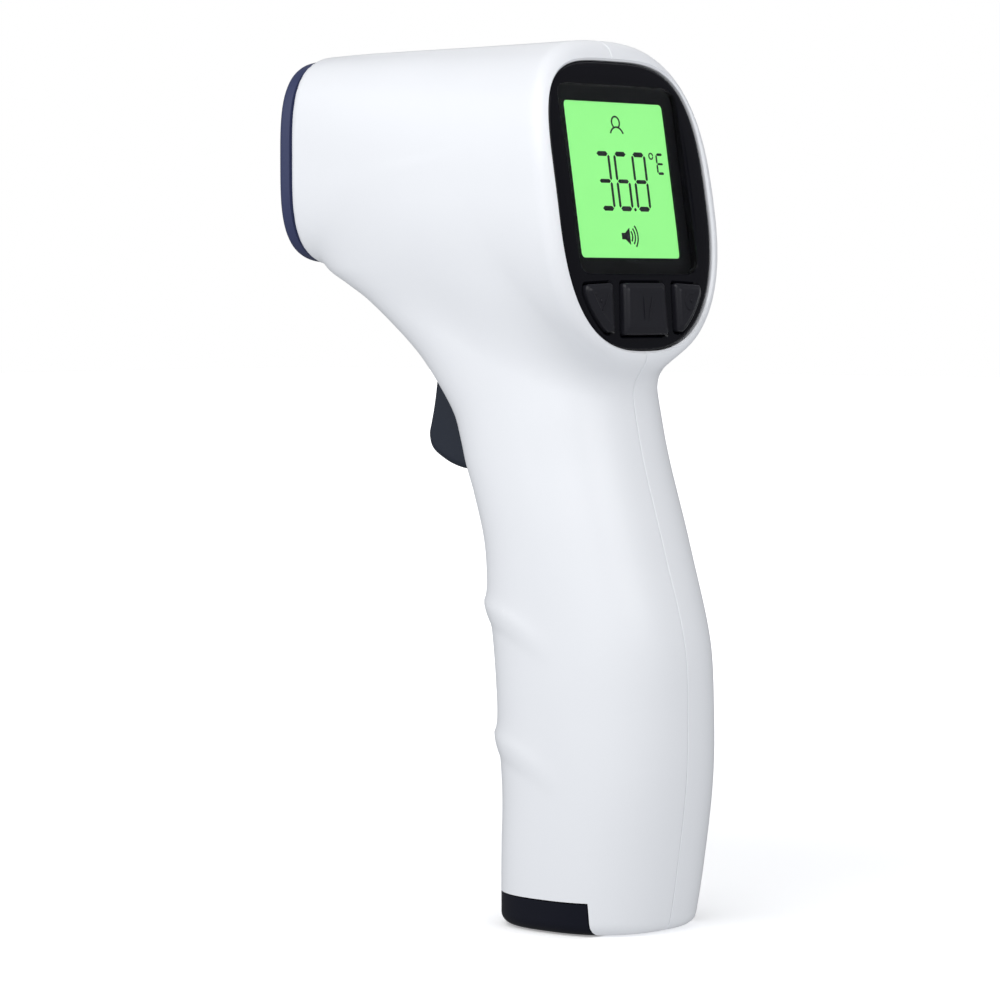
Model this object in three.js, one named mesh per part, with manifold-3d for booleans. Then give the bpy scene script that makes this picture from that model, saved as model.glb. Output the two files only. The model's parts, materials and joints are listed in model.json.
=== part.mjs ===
// A pistol-shaped infrared thermometer as an assembly of separate parts.
// Millimetres, +Z up the grip, the lens looks along -Y, the display faces +Y, and X is across.
// The origin is the middle of the grip's flat base.
import * as THREE from "three";
import { mergeVertices } from "three/addons/utils/BufferGeometryUtils.js";
import Module from "manifold-3d";

const wasm = await Module();
wasm.setup();

// ---------------------------------------------------------------- driving dimensions

const WALL = 2; // housing wall
const GAP = 0.3; // between parts that touch
const HALF_GAP = GAP / 2;
const SIDES = 12; // of small round parts

// Side profile of the grip and neck: [height, place]. The front flares forward under the barrel.
const GRIP_FRONT = [
  [0, -15.9], [12, -15.7], [22, -15.5], [25.5, -16], [28.5, -16.9], [35, -16.6], [43, -17.3],
  [46.5, -17.6], [49.8, -19.2], [56, -19.3], [65, -19.7], [73, -22.1], [78, -24.1],
  [82, -25.3], [86.5, -27], [92, -31.2], [96.5, -35.4], [101, -40.7], [106, -47.4],
  [108.8, -52.3], [111, -56.2], [113, -57.4],
];
const GRIP_BACK = [
  [0, 15.4], [9, 17], [25, 19.2], [37, 19.5], [49, 18.7], [65, 14], [81, 9.2], [94, 6.8], [115, 4.5],
];
const GRIP_HALF_WIDTH = [
  [0, 15], [12, 15.7], [33, 16.1], [69, 15.8], [87, 15.4], [100, 15.6], [112, 15.5], [124, 14],
];
const GRIP_EXPONENT = [[0, 2.5], [95, 2.5], [108, 3]]; // of each level section's superellipse
const GRIP_TOP = 124; // where the grip's own form ends, inside the head
const BASE_EDGE = 2; // rounding of the base

// Side and plan profiles of the head: [place along Y, value].
const HEAD_FRONT = -58.4;
const HEAD_BACK = 13; // cut back to the display face
const HEAD_TOP = [[HEAD_FRONT, 149], [-48, 149.3], [-20, 149.5], [13, 149.7]];
const HEAD_BOTTOM = [
  [HEAD_FRONT, 112], [-40, 108.4], [-20, 102.8], [-6, 98], [4, 95.3], [13, 94.5],
];
const HEAD_HALF_WIDTH = [
  [HEAD_FRONT, 15.5], [-40, 17.6], [-20, 19.6], [-5, 21.1], [4, 22.1], [13, 22.6],
];
// Of each upright section's superellipse, above and below its middle.
const HEAD_UPPER_EXPONENT = [[HEAD_FRONT, 3.4], [-40, 2.9], [-20, 2.7], [13, 3]];
const HEAD_LOWER_EXPONENT = [[HEAD_FRONT, 3.5], [-40, 2.9], [-20, 2.6], [13, 2.45]];
const FRONT_EDGE = 1; // rounding of the front edge
const RIM_RAISED = 0.6; // the rim round the display face

// The display face: its middle, how far its top leans forward, and how far it bulges.
const PANEL_MIDDLE = new THREE.Vector3(0, 6.1, 121.7);
const PANEL_LEAN = THREE.MathUtils.degToRad(9);
const PANEL_BULGE = 1.5;
const PANEL_HALF_WIDTH = 19.5;
const PANEL_HALF_HEIGHT = 24.5;
const PANEL_TOP_EXPONENT = 3.6;
const PANEL_BOTTOM_EXPONENT = 2.6;
const BEZEL_BACK = -2.5;
const FLANGE = { out: 1.2, from: -2.5, to: -1.5 }; // holds the bezel behind the rim

// Display window, glass and board, in the display face's own frame: right, up, out.
const WINDOW = { half: 15.3, low: -11.7, high: 20.4, back: -0.6, corner: 3 };
const LCD = { half: 14, low: -10.9, high: 18.7, front: -1, back: -3.6 };
const BACKLIGHT = { half: 14, low: -8.4, high: 18.7, front: -3.9, back: -6.4 };
const BOARD = { half: 17.6, low: -21.5, high: 21, front: -10, back: -11.6, corner: 8 };

// Keys.
const KEY_TRAVEL = 1;
const KEY_PROUD = 1.1; // above the face around it
const KEY_TOP = -13.3;
const CENTRE_KEY = { top: 5.3, bottom: 5.8, low: -22 };
const SIDE_KEY = { inner: 8.1, outer: 15.9, low: -21.4, border: 2.2 };

// Nose and infrared sensor, on one axis along Y.
const NOSE_AXIS_Z = 130.7;
const NOSE_FRONT = -62.2;
const NOSE_INSET = 0.7; // smaller than the head's front all round
const NOSE_BORE = 7.6;
const PLUG_RADIUS = 10.8; // of the neck that holds the ring in the head
const SENSOR_RADIUS = 4.1;

// Trigger.
const TRIGGER_PIVOT = { y: -26.4, z: 93.4 };
const TRIGGER_HALF_WIDTH = 5.7;
const SLOT = { low: 75.8, high: 94.8, half: 6.1 };
const PIN = { radius: 1.25, half: 9 };

// Battery compartment, for two AAA cells side by side.
const CELL = { radius: 5.25, length: 44.5, x: 5.6, y: -1, low: 5.7 };
const CAP = { top: 5.5, back: 9.2, floor: 1.8 };
const TONGUE = { half: 5, low: 2.4, high: 3.6, back: 10.9 };

// Housing screws: [y, z] of each boss.
const SCREWS = [[12, 18], [-1, 59], [-17, 100], [-40, 111.5], [-30, 142]];
const BOSS_RADIUS = 3.1;
const SCREW_HOLE = 1.5;
const RECESS = { radius: 2.9, floor: -5.4 }; // round each screw's head

// ---------------------------------------------------------------- solids

function solid(geometry) {
  const bare = geometry.clone();
  bare.deleteAttribute("normal");
  bare.deleteAttribute("uv");
  const merged = mergeVertices(bare, 1e-4);
  const mesh = new wasm.Mesh({
    numProp: 3,
    vertProperties: merged.attributes.position.array,
    triVerts: new Uint32Array(merged.index.array),
  });
  return new wasm.Manifold(mesh);
}

function geometryOf(manifold) {
  const mesh = manifold.getMesh();
  const geometry = new THREE.BufferGeometry();
  geometry.setAttribute("position", new THREE.BufferAttribute(mesh.vertProperties, 3));
  geometry.setIndex(new THREE.BufferAttribute(mesh.triVerts, 1));
  geometry.computeVertexNormals();
  return geometry;
}

const union = (...solids) => solids.reduce((a, b) => a.add(b));
const cut = (from, ...tools) => tools.reduce((a, b) => a.subtract(b), from);

function box(x0, x1, y0, y1, z0, z1) {
  const geometry = new THREE.BoxGeometry(x1 - x0, y1 - y0, z1 - z0);
  return solid(geometry.translate((x0 + x1) / 2, (y0 + y1) / 2, (z0 + z1) / 2));
}

// A solid of revolution about a line along X, Y or Z, from [radius, place along the line] points.
function turned(profile, axis, centre = [0, 0, 0], sides = SIDES) {
  const points = profile.map(([r, h]) => new THREE.Vector2(r, h));
  const geometry = new THREE.LatheGeometry(points, sides);
  if (axis === "z") geometry.rotateX(Math.PI / 2);
  if (axis === "x") geometry.rotateZ(-Math.PI / 2);
  return solid(geometry.translate(...centre));
}

function rod(radius, from, to, axis, centre, sides = SIDES) {
  return turned([[0, from], [radius, from], [radius, to], [0, to]], axis, centre, sides);
}

function tube(inner, outer, from, to, axis, centre, sides = SIDES) {
  const profile = [[inner, from], [outer, from], [outer, to], [inner, to], [inner, from]];
  return turned(profile, axis, centre, sides);
}

function plate(outline, from, to) {
  const geometry = new THREE.ExtrudeGeometry(new THREE.Shape(outline), {
    depth: to - from, bevelEnabled: false, curveSegments: 6,
  });
  return solid(geometry.translate(0, 0, from));
}

// A side outline in Y and Z, drawn through width along X.
function slab(outline, halfWidth) {
  const points = outline.map(([y, z]) => new THREE.Vector2(y, z));
  const geometry = new THREE.ExtrudeGeometry(new THREE.Shape(points), {
    depth: 2 * halfWidth, bevelEnabled: false,
  });
  geometry.translate(0, 0, -halfWidth);
  const turn = new THREE.Matrix4().makeBasis(
    new THREE.Vector3(0, 1, 0), new THREE.Vector3(0, 0, 1), new THREE.Vector3(1, 0, 0),
  );
  return solid(geometry.applyMatrix4(turn));
}

function roundedRectangle(x0, x1, y0, y1, r) {
  const shape = new THREE.Shape();
  shape.absarc(x1 - r, y1 - r, r, 0, Math.PI / 2);
  shape.absarc(x0 + r, y1 - r, r, Math.PI / 2, Math.PI);
  shape.absarc(x0 + r, y0 + r, r, Math.PI, 1.5 * Math.PI);
  shape.absarc(x1 - r, y0 + r, r, 1.5 * Math.PI, 2 * Math.PI);
  return shape.getPoints(4).slice(0, -1);
}

// ---------------------------------------------------------------- the body's form

// A smooth curve through [place, value] rows, flat beyond its ends.
function along(rows, t) {
  const last = rows.length - 1;
  if (t <= rows[0][0]) return rows[0][1];
  if (t >= rows[last][0]) return rows[last][1];
  const slope = (i) => {
    const [a, b] = [Math.max(i - 1, 0), Math.min(i + 1, last)];
    return (rows[b][1] - rows[a][1]) / (rows[b][0] - rows[a][0]);
  };
  const i = rows.findIndex((row) => row[0] > t) - 1;
  const [[t0, v0], [t1, v1]] = [rows[i], rows[i + 1]];
  const h = t1 - t0;
  const s = (t - t0) / h;
  const rise = v1 - v0;
  const [m0, m1] = [slope(i) * h, slope(i + 1) * h];
  return v0 + s * m0 + s * s * (3 * rise - 2 * m0 - m1) + s * s * s * (m0 + m1 - 2 * rise);
}

// How far a quarter-round edge draws the section in, at a distance from the end.
function edgeInset(distance, radius) {
  if (distance >= radius) return 0;
  return radius - Math.sqrt(radius ** 2 - (radius - distance) ** 2);
}

function superPoint(angle, exponent) {
  const power = 2 / exponent;
  const [c, s] = [Math.cos(angle), Math.sin(angle)];
  return [Math.sign(c) * Math.abs(c) ** power, Math.sign(s) * Math.abs(s) ** power];
}

function loop(count, pointAt) {
  return Array.from({ length: count }, (_, i) => pointAt((2 * Math.PI * i) / count));
}

function gripSection(z, wall, count) {
  const inset = wall + edgeInset(z, BASE_EDGE);
  const front = along(GRIP_FRONT, z) + inset;
  const back = along(GRIP_BACK, z) - inset;
  const half = along(GRIP_HALF_WIDTH, z) - inset;
  return loop(count, (angle) => {
    const [c, s] = superPoint(angle, along(GRIP_EXPONENT, z));
    return new THREE.Vector3(half * c, (front + back) / 2 + ((back - front) / 2) * s, z);
  });
}

function headSection(y, wall, count) {
  const inset = wall + edgeInset(y - HEAD_FRONT, FRONT_EDGE);
  const top = along(HEAD_TOP, y) - inset;
  const bottom = along(HEAD_BOTTOM, y) + inset;
  const half = along(HEAD_HALF_WIDTH, y) - inset;
  return loop(count, (angle) => {
    const exponents = Math.cos(angle) > 0 ? HEAD_UPPER_EXPONENT : HEAD_LOWER_EXPONENT;
    const [c, s] = superPoint(angle, along(exponents, y));
    return new THREE.Vector3(half * s, y, (top + bottom) / 2 + ((top - bottom) / 2) * c);
  });
}

// A closed skin over sections that turn right-handed about the way they advance.
function loft(sections) {
  const count = sections[0].length;
  const positions = sections.flat().flatMap((p) => p.toArray());
  const index = [];
  for (let i = 0; i < sections.length - 1; i++) {
    for (let j = 0; j < count; j++) {
      const [a, b] = [i * count + j, i * count + ((j + 1) % count)];
      index.push(a, b, b + count, a, b + count, a + count);
    }
  }
  const end = (sections.length - 1) * count;
  for (let j = 1; j < count - 1; j++) {
    index.push(0, j + 1, j);
    index.push(end, end + j, end + j + 1);
  }
  const geometry = new THREE.BufferGeometry();
  geometry.setAttribute("position", new THREE.Float32BufferAttribute(positions, 3));
  return solid(geometry.setIndex(index));
}

// Heights and places at which the skins have a section.
const GRIP_STATIONS = [
  0, 0.5, 1.1, 2, 9, 16, 22, 25.5, 28.5, 35, 42, 46.5, 49.8, 55, 62, 69, 76, 82, 86.5, 90, 93.5,
  97, 100, 103, 106, 108.8, 111, 113, 116, 120, GRIP_TOP,
];
const HEAD_STATIONS = [
  HEAD_FRONT, HEAD_FRONT + 0.4, HEAD_FRONT + FRONT_EDGE, -50, -44, -38, -32, -26, -20, -15, -10,
  -5, 0, 4, 8, HEAD_BACK,
];
const INNER_GRIP_STATIONS = [
  2, 9, 22, 35, 46, 50, 58, 69, 82, 87, 91.5, 96, 101, 106, 110, 115, GRIP_TOP - WALL,
];
const INNER_HEAD_STATIONS = [HEAD_FRONT + WALL, -50, -40, -30, -20, -12, -5, 0, HEAD_BACK];

const outerGrip = loft(GRIP_STATIONS.map((z) => gripSection(z, 0, 44)));
const outerHead = loft(HEAD_STATIONS.map((y) => headSection(y, 0, 44)));

// The hollow inside the housing, kept some further distance from its wall.
function hollow(clearance) {
  const inset = WALL + clearance;
  const grip = loft(INNER_GRIP_STATIONS.map((z) => gripSection(z, inset, 24)));
  const head = loft(INNER_HEAD_STATIONS.map((y) => headSection(y, inset, 24)));
  return union(grip, head);
}

// ---------------------------------------------------------------- the display face's frame

const PANEL_FRAME = new THREE.Matrix4()
  .makeBasis(
    new THREE.Vector3(-1, 0, 0),
    new THREE.Vector3(0, -Math.sin(PANEL_LEAN), Math.cos(PANEL_LEAN)),
    new THREE.Vector3(0, Math.cos(PANEL_LEAN), Math.sin(PANEL_LEAN)),
  )
  .setPosition(PANEL_MIDDLE);
const PANEL_FRAME_BACK = PANEL_FRAME.clone().invert();

const toBody = (panelSolid) => panelSolid.transform(PANEL_FRAME.elements);
const toPanel = (bodySolid) => bodySolid.transform(PANEL_FRAME_BACK.elements);

function panelOutline(margin, count = 40) {
  return loop(count, (angle) => {
    const exponent = Math.sin(angle) > 0 ? PANEL_TOP_EXPONENT : PANEL_BOTTOM_EXPONENT;
    const [c, s] = superPoint(angle, exponent);
    const [w, h] = [PANEL_HALF_WIDTH + margin, PANEL_HALF_HEIGHT + margin];
    return new THREE.Vector2(w * c, h * s);
  });
}

const faceHeight = (up) => PANEL_BULGE * (1 - (up / PANEL_HALF_HEIGHT) ** 2);

// Everything behind the bulging display face, raised by some height, with room for the whole head.
function behindFace(raised) {
  const reach = 50;
  const steps = 20;
  const depth = 90;
  const outline = [new THREE.Vector2(-reach, -depth), new THREE.Vector2(reach, -depth)];
  for (let i = 0; i <= steps; i++) {
    const up = reach - (2 * reach * i) / steps;
    outline.push(new THREE.Vector2(up, faceHeight(up) + raised));
  }
  const geometry = new THREE.ExtrudeGeometry(new THREE.Shape(outline), { depth: 80, bevelEnabled: false });
  geometry.translate(0, 0, -40);
  const turn = new THREE.Matrix4().makeBasis(
    new THREE.Vector3(0, 1, 0), new THREE.Vector3(0, 0, 1), new THREE.Vector3(1, 0, 0),
  );
  return solid(geometry.applyMatrix4(turn));
}

// ---------------------------------------------------------------- scene graph

const thermometer = new THREE.Group();
const panel = new THREE.Group();
panel.applyMatrix4(PANEL_FRAME);
thermometer.add(panel);

const finish = (color, roughness, metalness = 0) =>
  new THREE.MeshStandardMaterial({ color, roughness, metalness });
const WHITE = finish(0xeef0f5, 0.38);
const SLATE = finish(0x4a5068, 0.45);
const BLACK = finish(0x15151b, 0.3);
const CHARCOAL = finish(0x2b2f38, 0.5);
const CLEAR = finish(0xe8f0f0, 0.05);
const GREEN = finish(0x92f58c, 0.4);
const MILKY = finish(0xf2f4ee, 0.6);
const BOARD_GREEN = finish(0x1f6b3a, 0.5);
const STEEL = finish(0xb8bcc2, 0.3, 1);
const RUBBER = finish(0x5a5c62, 0.8);
const CELL_JACKET = finish(0x2f6fb0, 0.35, 0.4);
const RED = finish(0xc0282c, 0.5);

function add(name, manifold, material, parent = thermometer) {
  const mesh = new THREE.Mesh(geometryOf(manifold), material);
  mesh.name = name;
  parent.add(mesh);
}

// ---------------------------------------------------------------- housing

const capRegion = box(-30, 30, -30, CAP.back + HALF_GAP, -5, CAP.top + HALF_GAP);
const sensorAxis = [0, 0, NOSE_AXIS_Z];
const SLEEVE_RADIUS = 8.4;

function housing() {
  const body = union(outerGrip, outerHead.intersect(toBody(behindFace(RIM_RAISED))));
  const inside = hollow(0).intersect(toBody(box(-40, 40, -200, 60, -150, BEZEL_BACK - GAP)));
  const opening = toBody(plate(panelOutline(GAP), FLANGE.to, 12));
  const pocket = toBody(plate(panelOutline(FLANGE.out + GAP), BEZEL_BACK - 2 * GAP, FLANGE.to + GAP));
  const nosePort = rod(PLUG_RADIUS + GAP, HEAD_FRONT - 5, HEAD_FRONT + 2 * WALL, "y", sensorAxis, 24);
  const slot = box(-SLOT.half, SLOT.half, -50, -16, SLOT.low, SLOT.high);
  const shell = cut(body, inside, opening, pocket, nosePort, slot, capRegion);
  // The wall that closes the grip behind the battery cap, and ribs that carry the sensor sleeve.
  const capWall = box(-20, 20, CAP.back + HALF_GAP, CAP.back + 1.4, 1, CAP.top + 4);
  const sleeveRoom = rod(SLEEVE_RADIUS + GAP, -54, -42, "y", sensorAxis, 24);
  const ribs = [-52.4, -46.4].map((y) => box(-20, 20, y, y + 1.4, 105, 150).subtract(sleeveRoom));
  const trimmed = union(capWall, ...ribs).intersect(hollow(-0.5));
  const { half, low, high, back } = TONGUE;
  const tongueSlot = box(-half - GAP, half + GAP, CAP.back, back + GAP, low - GAP, high + GAP);
  return cut(union(shell, trimmed), tongueSlot);
}

const pivot = [0, TRIGGER_PIVOT.y, TRIGGER_PIVOT.z];
const pinBosses = [-1, 1].map((side) => {
  const [near, far] = side > 0 ? [6.4, 20] : [-20, -6.4];
  return rod(2.9, near, far, "x", pivot);
});
const pinHole = rod(PIN.radius + GAP, -PIN.half - GAP, PIN.half + GAP, "x", pivot);

function half(side) {
  const keep = side > 0 ? box(HALF_GAP, 40, -80, 40, -5, 170) : box(-40, -HALF_GAP, -80, 40, -5, 170);
  const columns = SCREWS.map(([y, z]) => rod(BOSS_RADIUS, -30, 30, "x", [0, y, z]));
  const filled = union(...columns, ...pinBosses).intersect(hollow(-0.5));
  const holes = SCREWS.map(([y, z]) => {
    if (side > 0) return rod(SCREW_HOLE, -1, 10.5, "x", [0, y, z]);
    const recess = rod(RECESS.radius, -30, RECESS.floor, "x", [0, y, z], 16);
    return union(rod(SCREW_HOLE, -8, 1, "x", [0, y, z]), recess);
  });
  return cut(union(housing(), filled).intersect(keep), ...holes, pinHole);
}

add("left_shell", half(1), WHITE);
add("right_shell", half(-1), WHITE);

SCREWS.forEach(([y, z], i) => {
  const profile = [[0, -8], [2.5, -8], [2.5, -5.7], [1.2, -5.7], [1.2, 8.4], [0.3, 9.6], [0, 9.6]];
  const slotCut = box(-8.5, -7.2, y - 1.8, y + 1.8, z - 0.35, z + 0.35);
  const crossCut = box(-8.5, -7.2, y - 0.35, y + 0.35, z - 1.8, z + 1.8);
  const screw = turned(profile, "x", [0, y, z]);
  add(`housing_screw_${i + 1}`, cut(screw, slotCut, crossCut), STEEL);
});

// ---------------------------------------------------------------- nose and sensor

function nose() {
  const y = HEAD_FRONT - GAP;
  const outline = (inset) => headSection(HEAD_FRONT + FRONT_EDGE, NOSE_INSET + inset, 32);
  const section = (place, inset) => outline(inset).map((p) => new THREE.Vector3(p.x, place, p.z));
  const ring = loft([
    section(NOSE_FRONT, 1.3), section(NOSE_FRONT + 0.35, 0.5), section(NOSE_FRONT + 1.1, 0), section(y, 0),
  ]);
  const inside = HEAD_FRONT + WALL + GAP;
  const plug = rod(PLUG_RADIUS, y - 0.5, inside, "y", sensorAxis, 24);
  const collar = rod(PLUG_RADIUS + 1.4, inside, inside + 1.3, "y", sensorAxis, 24);
  const bore = rod(NOSE_BORE + GAP, NOSE_FRONT - 1, HEAD_FRONT + 6, "y", sensorAxis, 24);
  const seat = rod(NOSE_BORE + 1.4, HEAD_FRONT - 0.9, HEAD_FRONT + 6, "y", sensorAxis, 24);
  return cut(union(ring, plug, collar), bore, seat);
}
add("nose_ring", nose(), SLATE);

const cone = [
  [6.9, NOSE_FRONT + 0.4], [NOSE_BORE, NOSE_FRONT + 0.4], [NOSE_BORE, HEAD_FRONT - 0.6],
  [NOSE_BORE + 1.1, HEAD_FRONT - 0.6], [NOSE_BORE + 1.1, HEAD_FRONT + 4], [4.5, -51.2], [3.2, -51.2],
  [3.2, -52.4], [6.9, NOSE_FRONT + 0.4],
];
add("sensor_cone", turned(cone, "y", sensorAxis, 24), BLACK);
add("sensor_window", rod(2.9, -50.9, -50.3, "y", sensorAxis, 20), CHARCOAL);
const can = [
  [0, -50], [SENSOR_RADIUS, -50], [SENSOR_RADIUS, -46.6], [SENSOR_RADIUS + 0.5, -46.6],
  [SENSOR_RADIUS + 0.5, -45.9], [0, -45.9],
];
add("thermopile_sensor", turned(can, "y", sensorAxis, 20), STEEL);
add("sensor_sleeve", tube(5, SLEEVE_RADIUS, -50.6, -44.4, "y", sensorAxis, 24), STEEL);
add("sensor_board", rod(8.6, -44.1, -42.9, "y", sensorAxis, 20), BOARD_GREEN);

// ---------------------------------------------------------------- display face

const windowShape = (margin) =>
  roundedRectangle(
    -WINDOW.half - margin, WINDOW.half + margin, WINDOW.low - margin, WINDOW.high + margin, WINDOW.corner,
  );

// How far the face's lower half reaches sideways at a height.
function faceReach(up) {
  const level = Math.abs(up / PANEL_HALF_HEIGHT) ** PANEL_BOTTOM_EXPONENT;
  return PANEL_HALF_WIDTH * (1 - level) ** (1 / PANEL_BOTTOM_EXPONENT);
}

// Side key: a straight inner edge and an outer edge that follows the face's own outline.
function sideKeyShape(side, margin) {
  const { inner, outer, low, border } = SIDE_KEY;
  const points = [[inner - margin, KEY_TOP + margin], [inner - margin, low - margin]];
  const steps = 5;
  for (let i = 0; i <= steps; i++) {
    const up = THREE.MathUtils.lerp(low - 0.2, KEY_TOP - 1.6, i / steps);
    points.push([Math.min(faceReach(up) - border, outer) + 1.6 * margin, up - (i ? 0 : margin)]);
  }
  points.push([outer - 1.2, KEY_TOP - 0.6 + margin]);
  const outline = points.map(([right, up]) => new THREE.Vector2(side * right, up));
  return side > 0 ? outline : outline.reverse();
}

function centreKeyShape(margin) {
  const { top, bottom, low } = CENTRE_KEY;
  return [
    [-bottom - margin, low - margin], [bottom + margin, low - margin],
    [top + margin, KEY_TOP + margin], [-top - margin, KEY_TOP + margin],
  ].map(([right, up]) => new THREE.Vector2(right, up));
}

const KEYS = [
  { name: "left", shape: (margin) => sideKeyShape(-1, margin), at: [-9.5, -16.4] },
  { name: "center", shape: centreKeyShape, at: [0, -17.6] },
  { name: "right", shape: (margin) => sideKeyShape(1, margin), at: [9.5, -16.4] },
];

function bezel() {
  const face = plate(panelOutline(0), BEZEL_BACK, 5).intersect(behindFace(0));
  const flange = plate(panelOutline(FLANGE.out), FLANGE.from, FLANGE.to);
  const recess = plate(windowShape(GAP), WINDOW.back - GAP, 5);
  const { half: h, low, high } = LCD;
  const through = plate(roundedRectangle(-h - GAP, h + GAP, low - GAP, high + GAP, 0.3), -5, 5);
  const keyHoles = KEYS.map((key) => plate(key.shape(GAP), -5, 5));
  return cut(union(face, flange), recess, through, ...keyHoles);
}
add("display_bezel", bezel(), BLACK, panel);
add("display_window", plate(windowShape(0), WINDOW.back, 5).intersect(behindFace(-0.05)), CLEAR, panel);
add("lcd_panel", box(-LCD.half, LCD.half, LCD.low, LCD.high, LCD.back, LCD.front), GREEN, panel);
add(
  "lcd_backlight",
  box(-BACKLIGHT.half, BACKLIGHT.half, BACKLIGHT.low, BACKLIGHT.high, BACKLIGHT.back, BACKLIGHT.front),
  MILKY, panel,
);
const ZEBRA_WIDTH = 1.8;
add(
  "zebra_strip",
  box(-12.5, 12.5, LCD.low + 0.2, LCD.low + 0.2 + ZEBRA_WIDTH, BOARD.front + GAP, LCD.back - GAP),
  RUBBER, panel,
);
const HOLDER_RIM = 1.2;
const holder = cut(
  box(
    -LCD.half - GAP - HOLDER_RIM, LCD.half + GAP + HOLDER_RIM,
    LCD.low - GAP - HOLDER_RIM + 0.4, LCD.high + GAP + HOLDER_RIM, BOARD.front + GAP, BEZEL_BACK - GAP,
  ),
  box(-LCD.half - GAP, LCD.half + GAP, LCD.low - GAP, LCD.high + GAP, -20, 0),
);
add("lcd_holder", holder.intersect(toPanel(hollow(0.4))), MILKY, panel);

const hollowForBoard = toPanel(hollow(0.4));
const board = plate(
  roundedRectangle(-BOARD.half, BOARD.half, BOARD.low, BOARD.high, BOARD.corner), BOARD.back, BOARD.front,
);
add("main_board", board.intersect(hollowForBoard), BOARD_GREEN, panel);
add("controller_chip", box(-6, 4, -3, 7, BOARD.back - GAP - 1.6, BOARD.back - GAP), CHARCOAL, panel);
add("buzzer", rod(5.5, BOARD.back - GAP - 4, BOARD.back - GAP, "z", [6, -9.6, 0], 20), BLACK, panel);

// A key's flange stays clear of the housing through the whole press.
const hollowForKeys = toPanel(hollow(0.8));
KEYS.forEach(({ name, shape, at }) => {
  const flangeTop = BEZEL_BACK - GAP;
  const cap = plate(shape(0), flangeTop - 0.5, 5).intersect(behindFace(KEY_PROUD));
  const flange = plate(shape(0.7), flangeTop - 0.9, flangeTop).intersect(hollowForKeys);
  const pusher = rod(1.6, -4.6, flangeTop - 0.4, "z", [...at, 0]);
  add(`button_${name}`, union(cap, flange, pusher), BLACK, panel);
  const switchTop = -4.6 - KEY_TRAVEL - GAP;
  const square = box(at[0] - 3, at[0] + 3, at[1] - 3, at[1] + 3, BOARD.front + GAP, switchTop - 1);
  const body = square.intersect(hollowForBoard);
  const plunger = rod(1.7, switchTop - 1.5, switchTop, "z", [...at, 0]);
  add(`key_switch_${name}`, union(body, plunger), STEEL, panel);
});

// ---------------------------------------------------------------- trigger

const BLADE_BACK = -22.6;
function trigger() {
  const blade = [
    [-32.6, 94.3], [-33.5, 90], [-34.4, 86], [-35.1, 83], [-34.8, 81], [-33.6, 79.4], [-31.4, 78],
    [-29, 77.1], [-26, 76.5], [BLADE_BACK, 76.5], [BLADE_BACK, 86.8], [-23.6, 91], [-24, 93.4],
    [-28.6, 94.3],
  ];
  const hub = rod(2.6, -TRIGGER_HALF_WIDTH, TRIGGER_HALF_WIDTH, "x", pivot, 16);
  const bore = rod(PIN.radius + GAP, -20, 20, "x", pivot);
  const lightening = slab(
    [[-30.5, 84.8], [-30, 80.8], [-28, 79.8], [-20, 79.8], [-20, 86.8], [-26, 87.8]], 4.1,
  );
  const body = cut(union(slab(blade, TRIGGER_HALF_WIDTH), hub), bore, lightening);
  return body.add(box(-4.2, 4.2, BLADE_BACK - 1.4, BLADE_BACK, 76.9, 86.8));
}
add("trigger", trigger(), CHARCOAL);
add("trigger_pin", rod(PIN.radius, -PIN.half, PIN.half, "x", pivot), STEEL);
add("trigger_board", box(-8, 8, -14, -12.4, 74, 91), BOARD_GREEN);
const triggerSwitch = union(
  box(-3, 3, -18.2, -14.3, 82.3, 88.3), rod(1.7, -20.8, -18, "y", [0, 0, 85.3]),
);
add("trigger_switch", triggerSwitch, STEEL);

function hexagon(radius) {
  const corners = loop(6, (angle) => new THREE.Vector2(Math.cos(angle), Math.sin(angle)));
  return new THREE.Shape(corners.map((corner) => corner.multiplyScalar(radius)));
}

// A compression spring along Y, close to what it pushes on at both ends.
function spring(radius, wire, turns, from, to, z) {
  class Helix extends THREE.Curve {
    getPoint(t, target = new THREE.Vector3()) {
      const angle = 2 * Math.PI * turns * t;
      const y = THREE.MathUtils.lerp(from + wire, to - wire, t);
      return target.set(radius * Math.cos(angle), y, z + radius * Math.sin(angle));
    }
  }
  const options = { steps: 10 * turns, extrudePath: new Helix() };
  return solid(new THREE.ExtrudeGeometry(hexagon(wire), options));
}
add("trigger_spring", spring(1.7, 0.3, 5, -22.3, -14.3, 78.8), STEEL);

// ---------------------------------------------------------------- battery compartment

function batteryCap() {
  const region = box(-30, 30, -30, CAP.back - HALF_GAP, -1, CAP.top - HALF_GAP);
  const inner = loft([CAP.floor, 5, CAP.top + 1].map((z) => gripSection(z, WALL, 24)));
  const tray = cut(outerGrip.intersect(region), inner);
  // A tongue at the back that slides out of a slot in the wall behind it.
  const root = box(-TONGUE.half, TONGUE.half, CAP.back - 2.5, CAP.back - 1, CAP.floor - 0.5, TONGUE.high);
  const tongue = box(-TONGUE.half, TONGUE.half, CAP.back - 2.5, TONGUE.back, TONGUE.low, TONGUE.high);
  return union(tray, root, tongue);
}
add("battery_cap", batteryCap(), CHARCOAL);

const CELL_TOP = CELL.low + CELL.length;
function batteryHolder() {
  const block = box(-12, 12, CELL.y - 6.4, CELL.y + 6.4, CAP.top + 0.6, CELL_TOP + 4);
  const bores = [-1, 1].map((side) =>
    rod(CELL.radius + GAP, 0, CELL_TOP + 1.9, "z", [side * CELL.x, CELL.y, 0], 20),
  );
  const window = box(-8, 8, -20, CELL.y - 3.5, 18, 40);
  return cut(block, ...bores, window).intersect(hollow(GAP));
}
add("battery_holder", batteryHolder(), MILKY);

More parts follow.
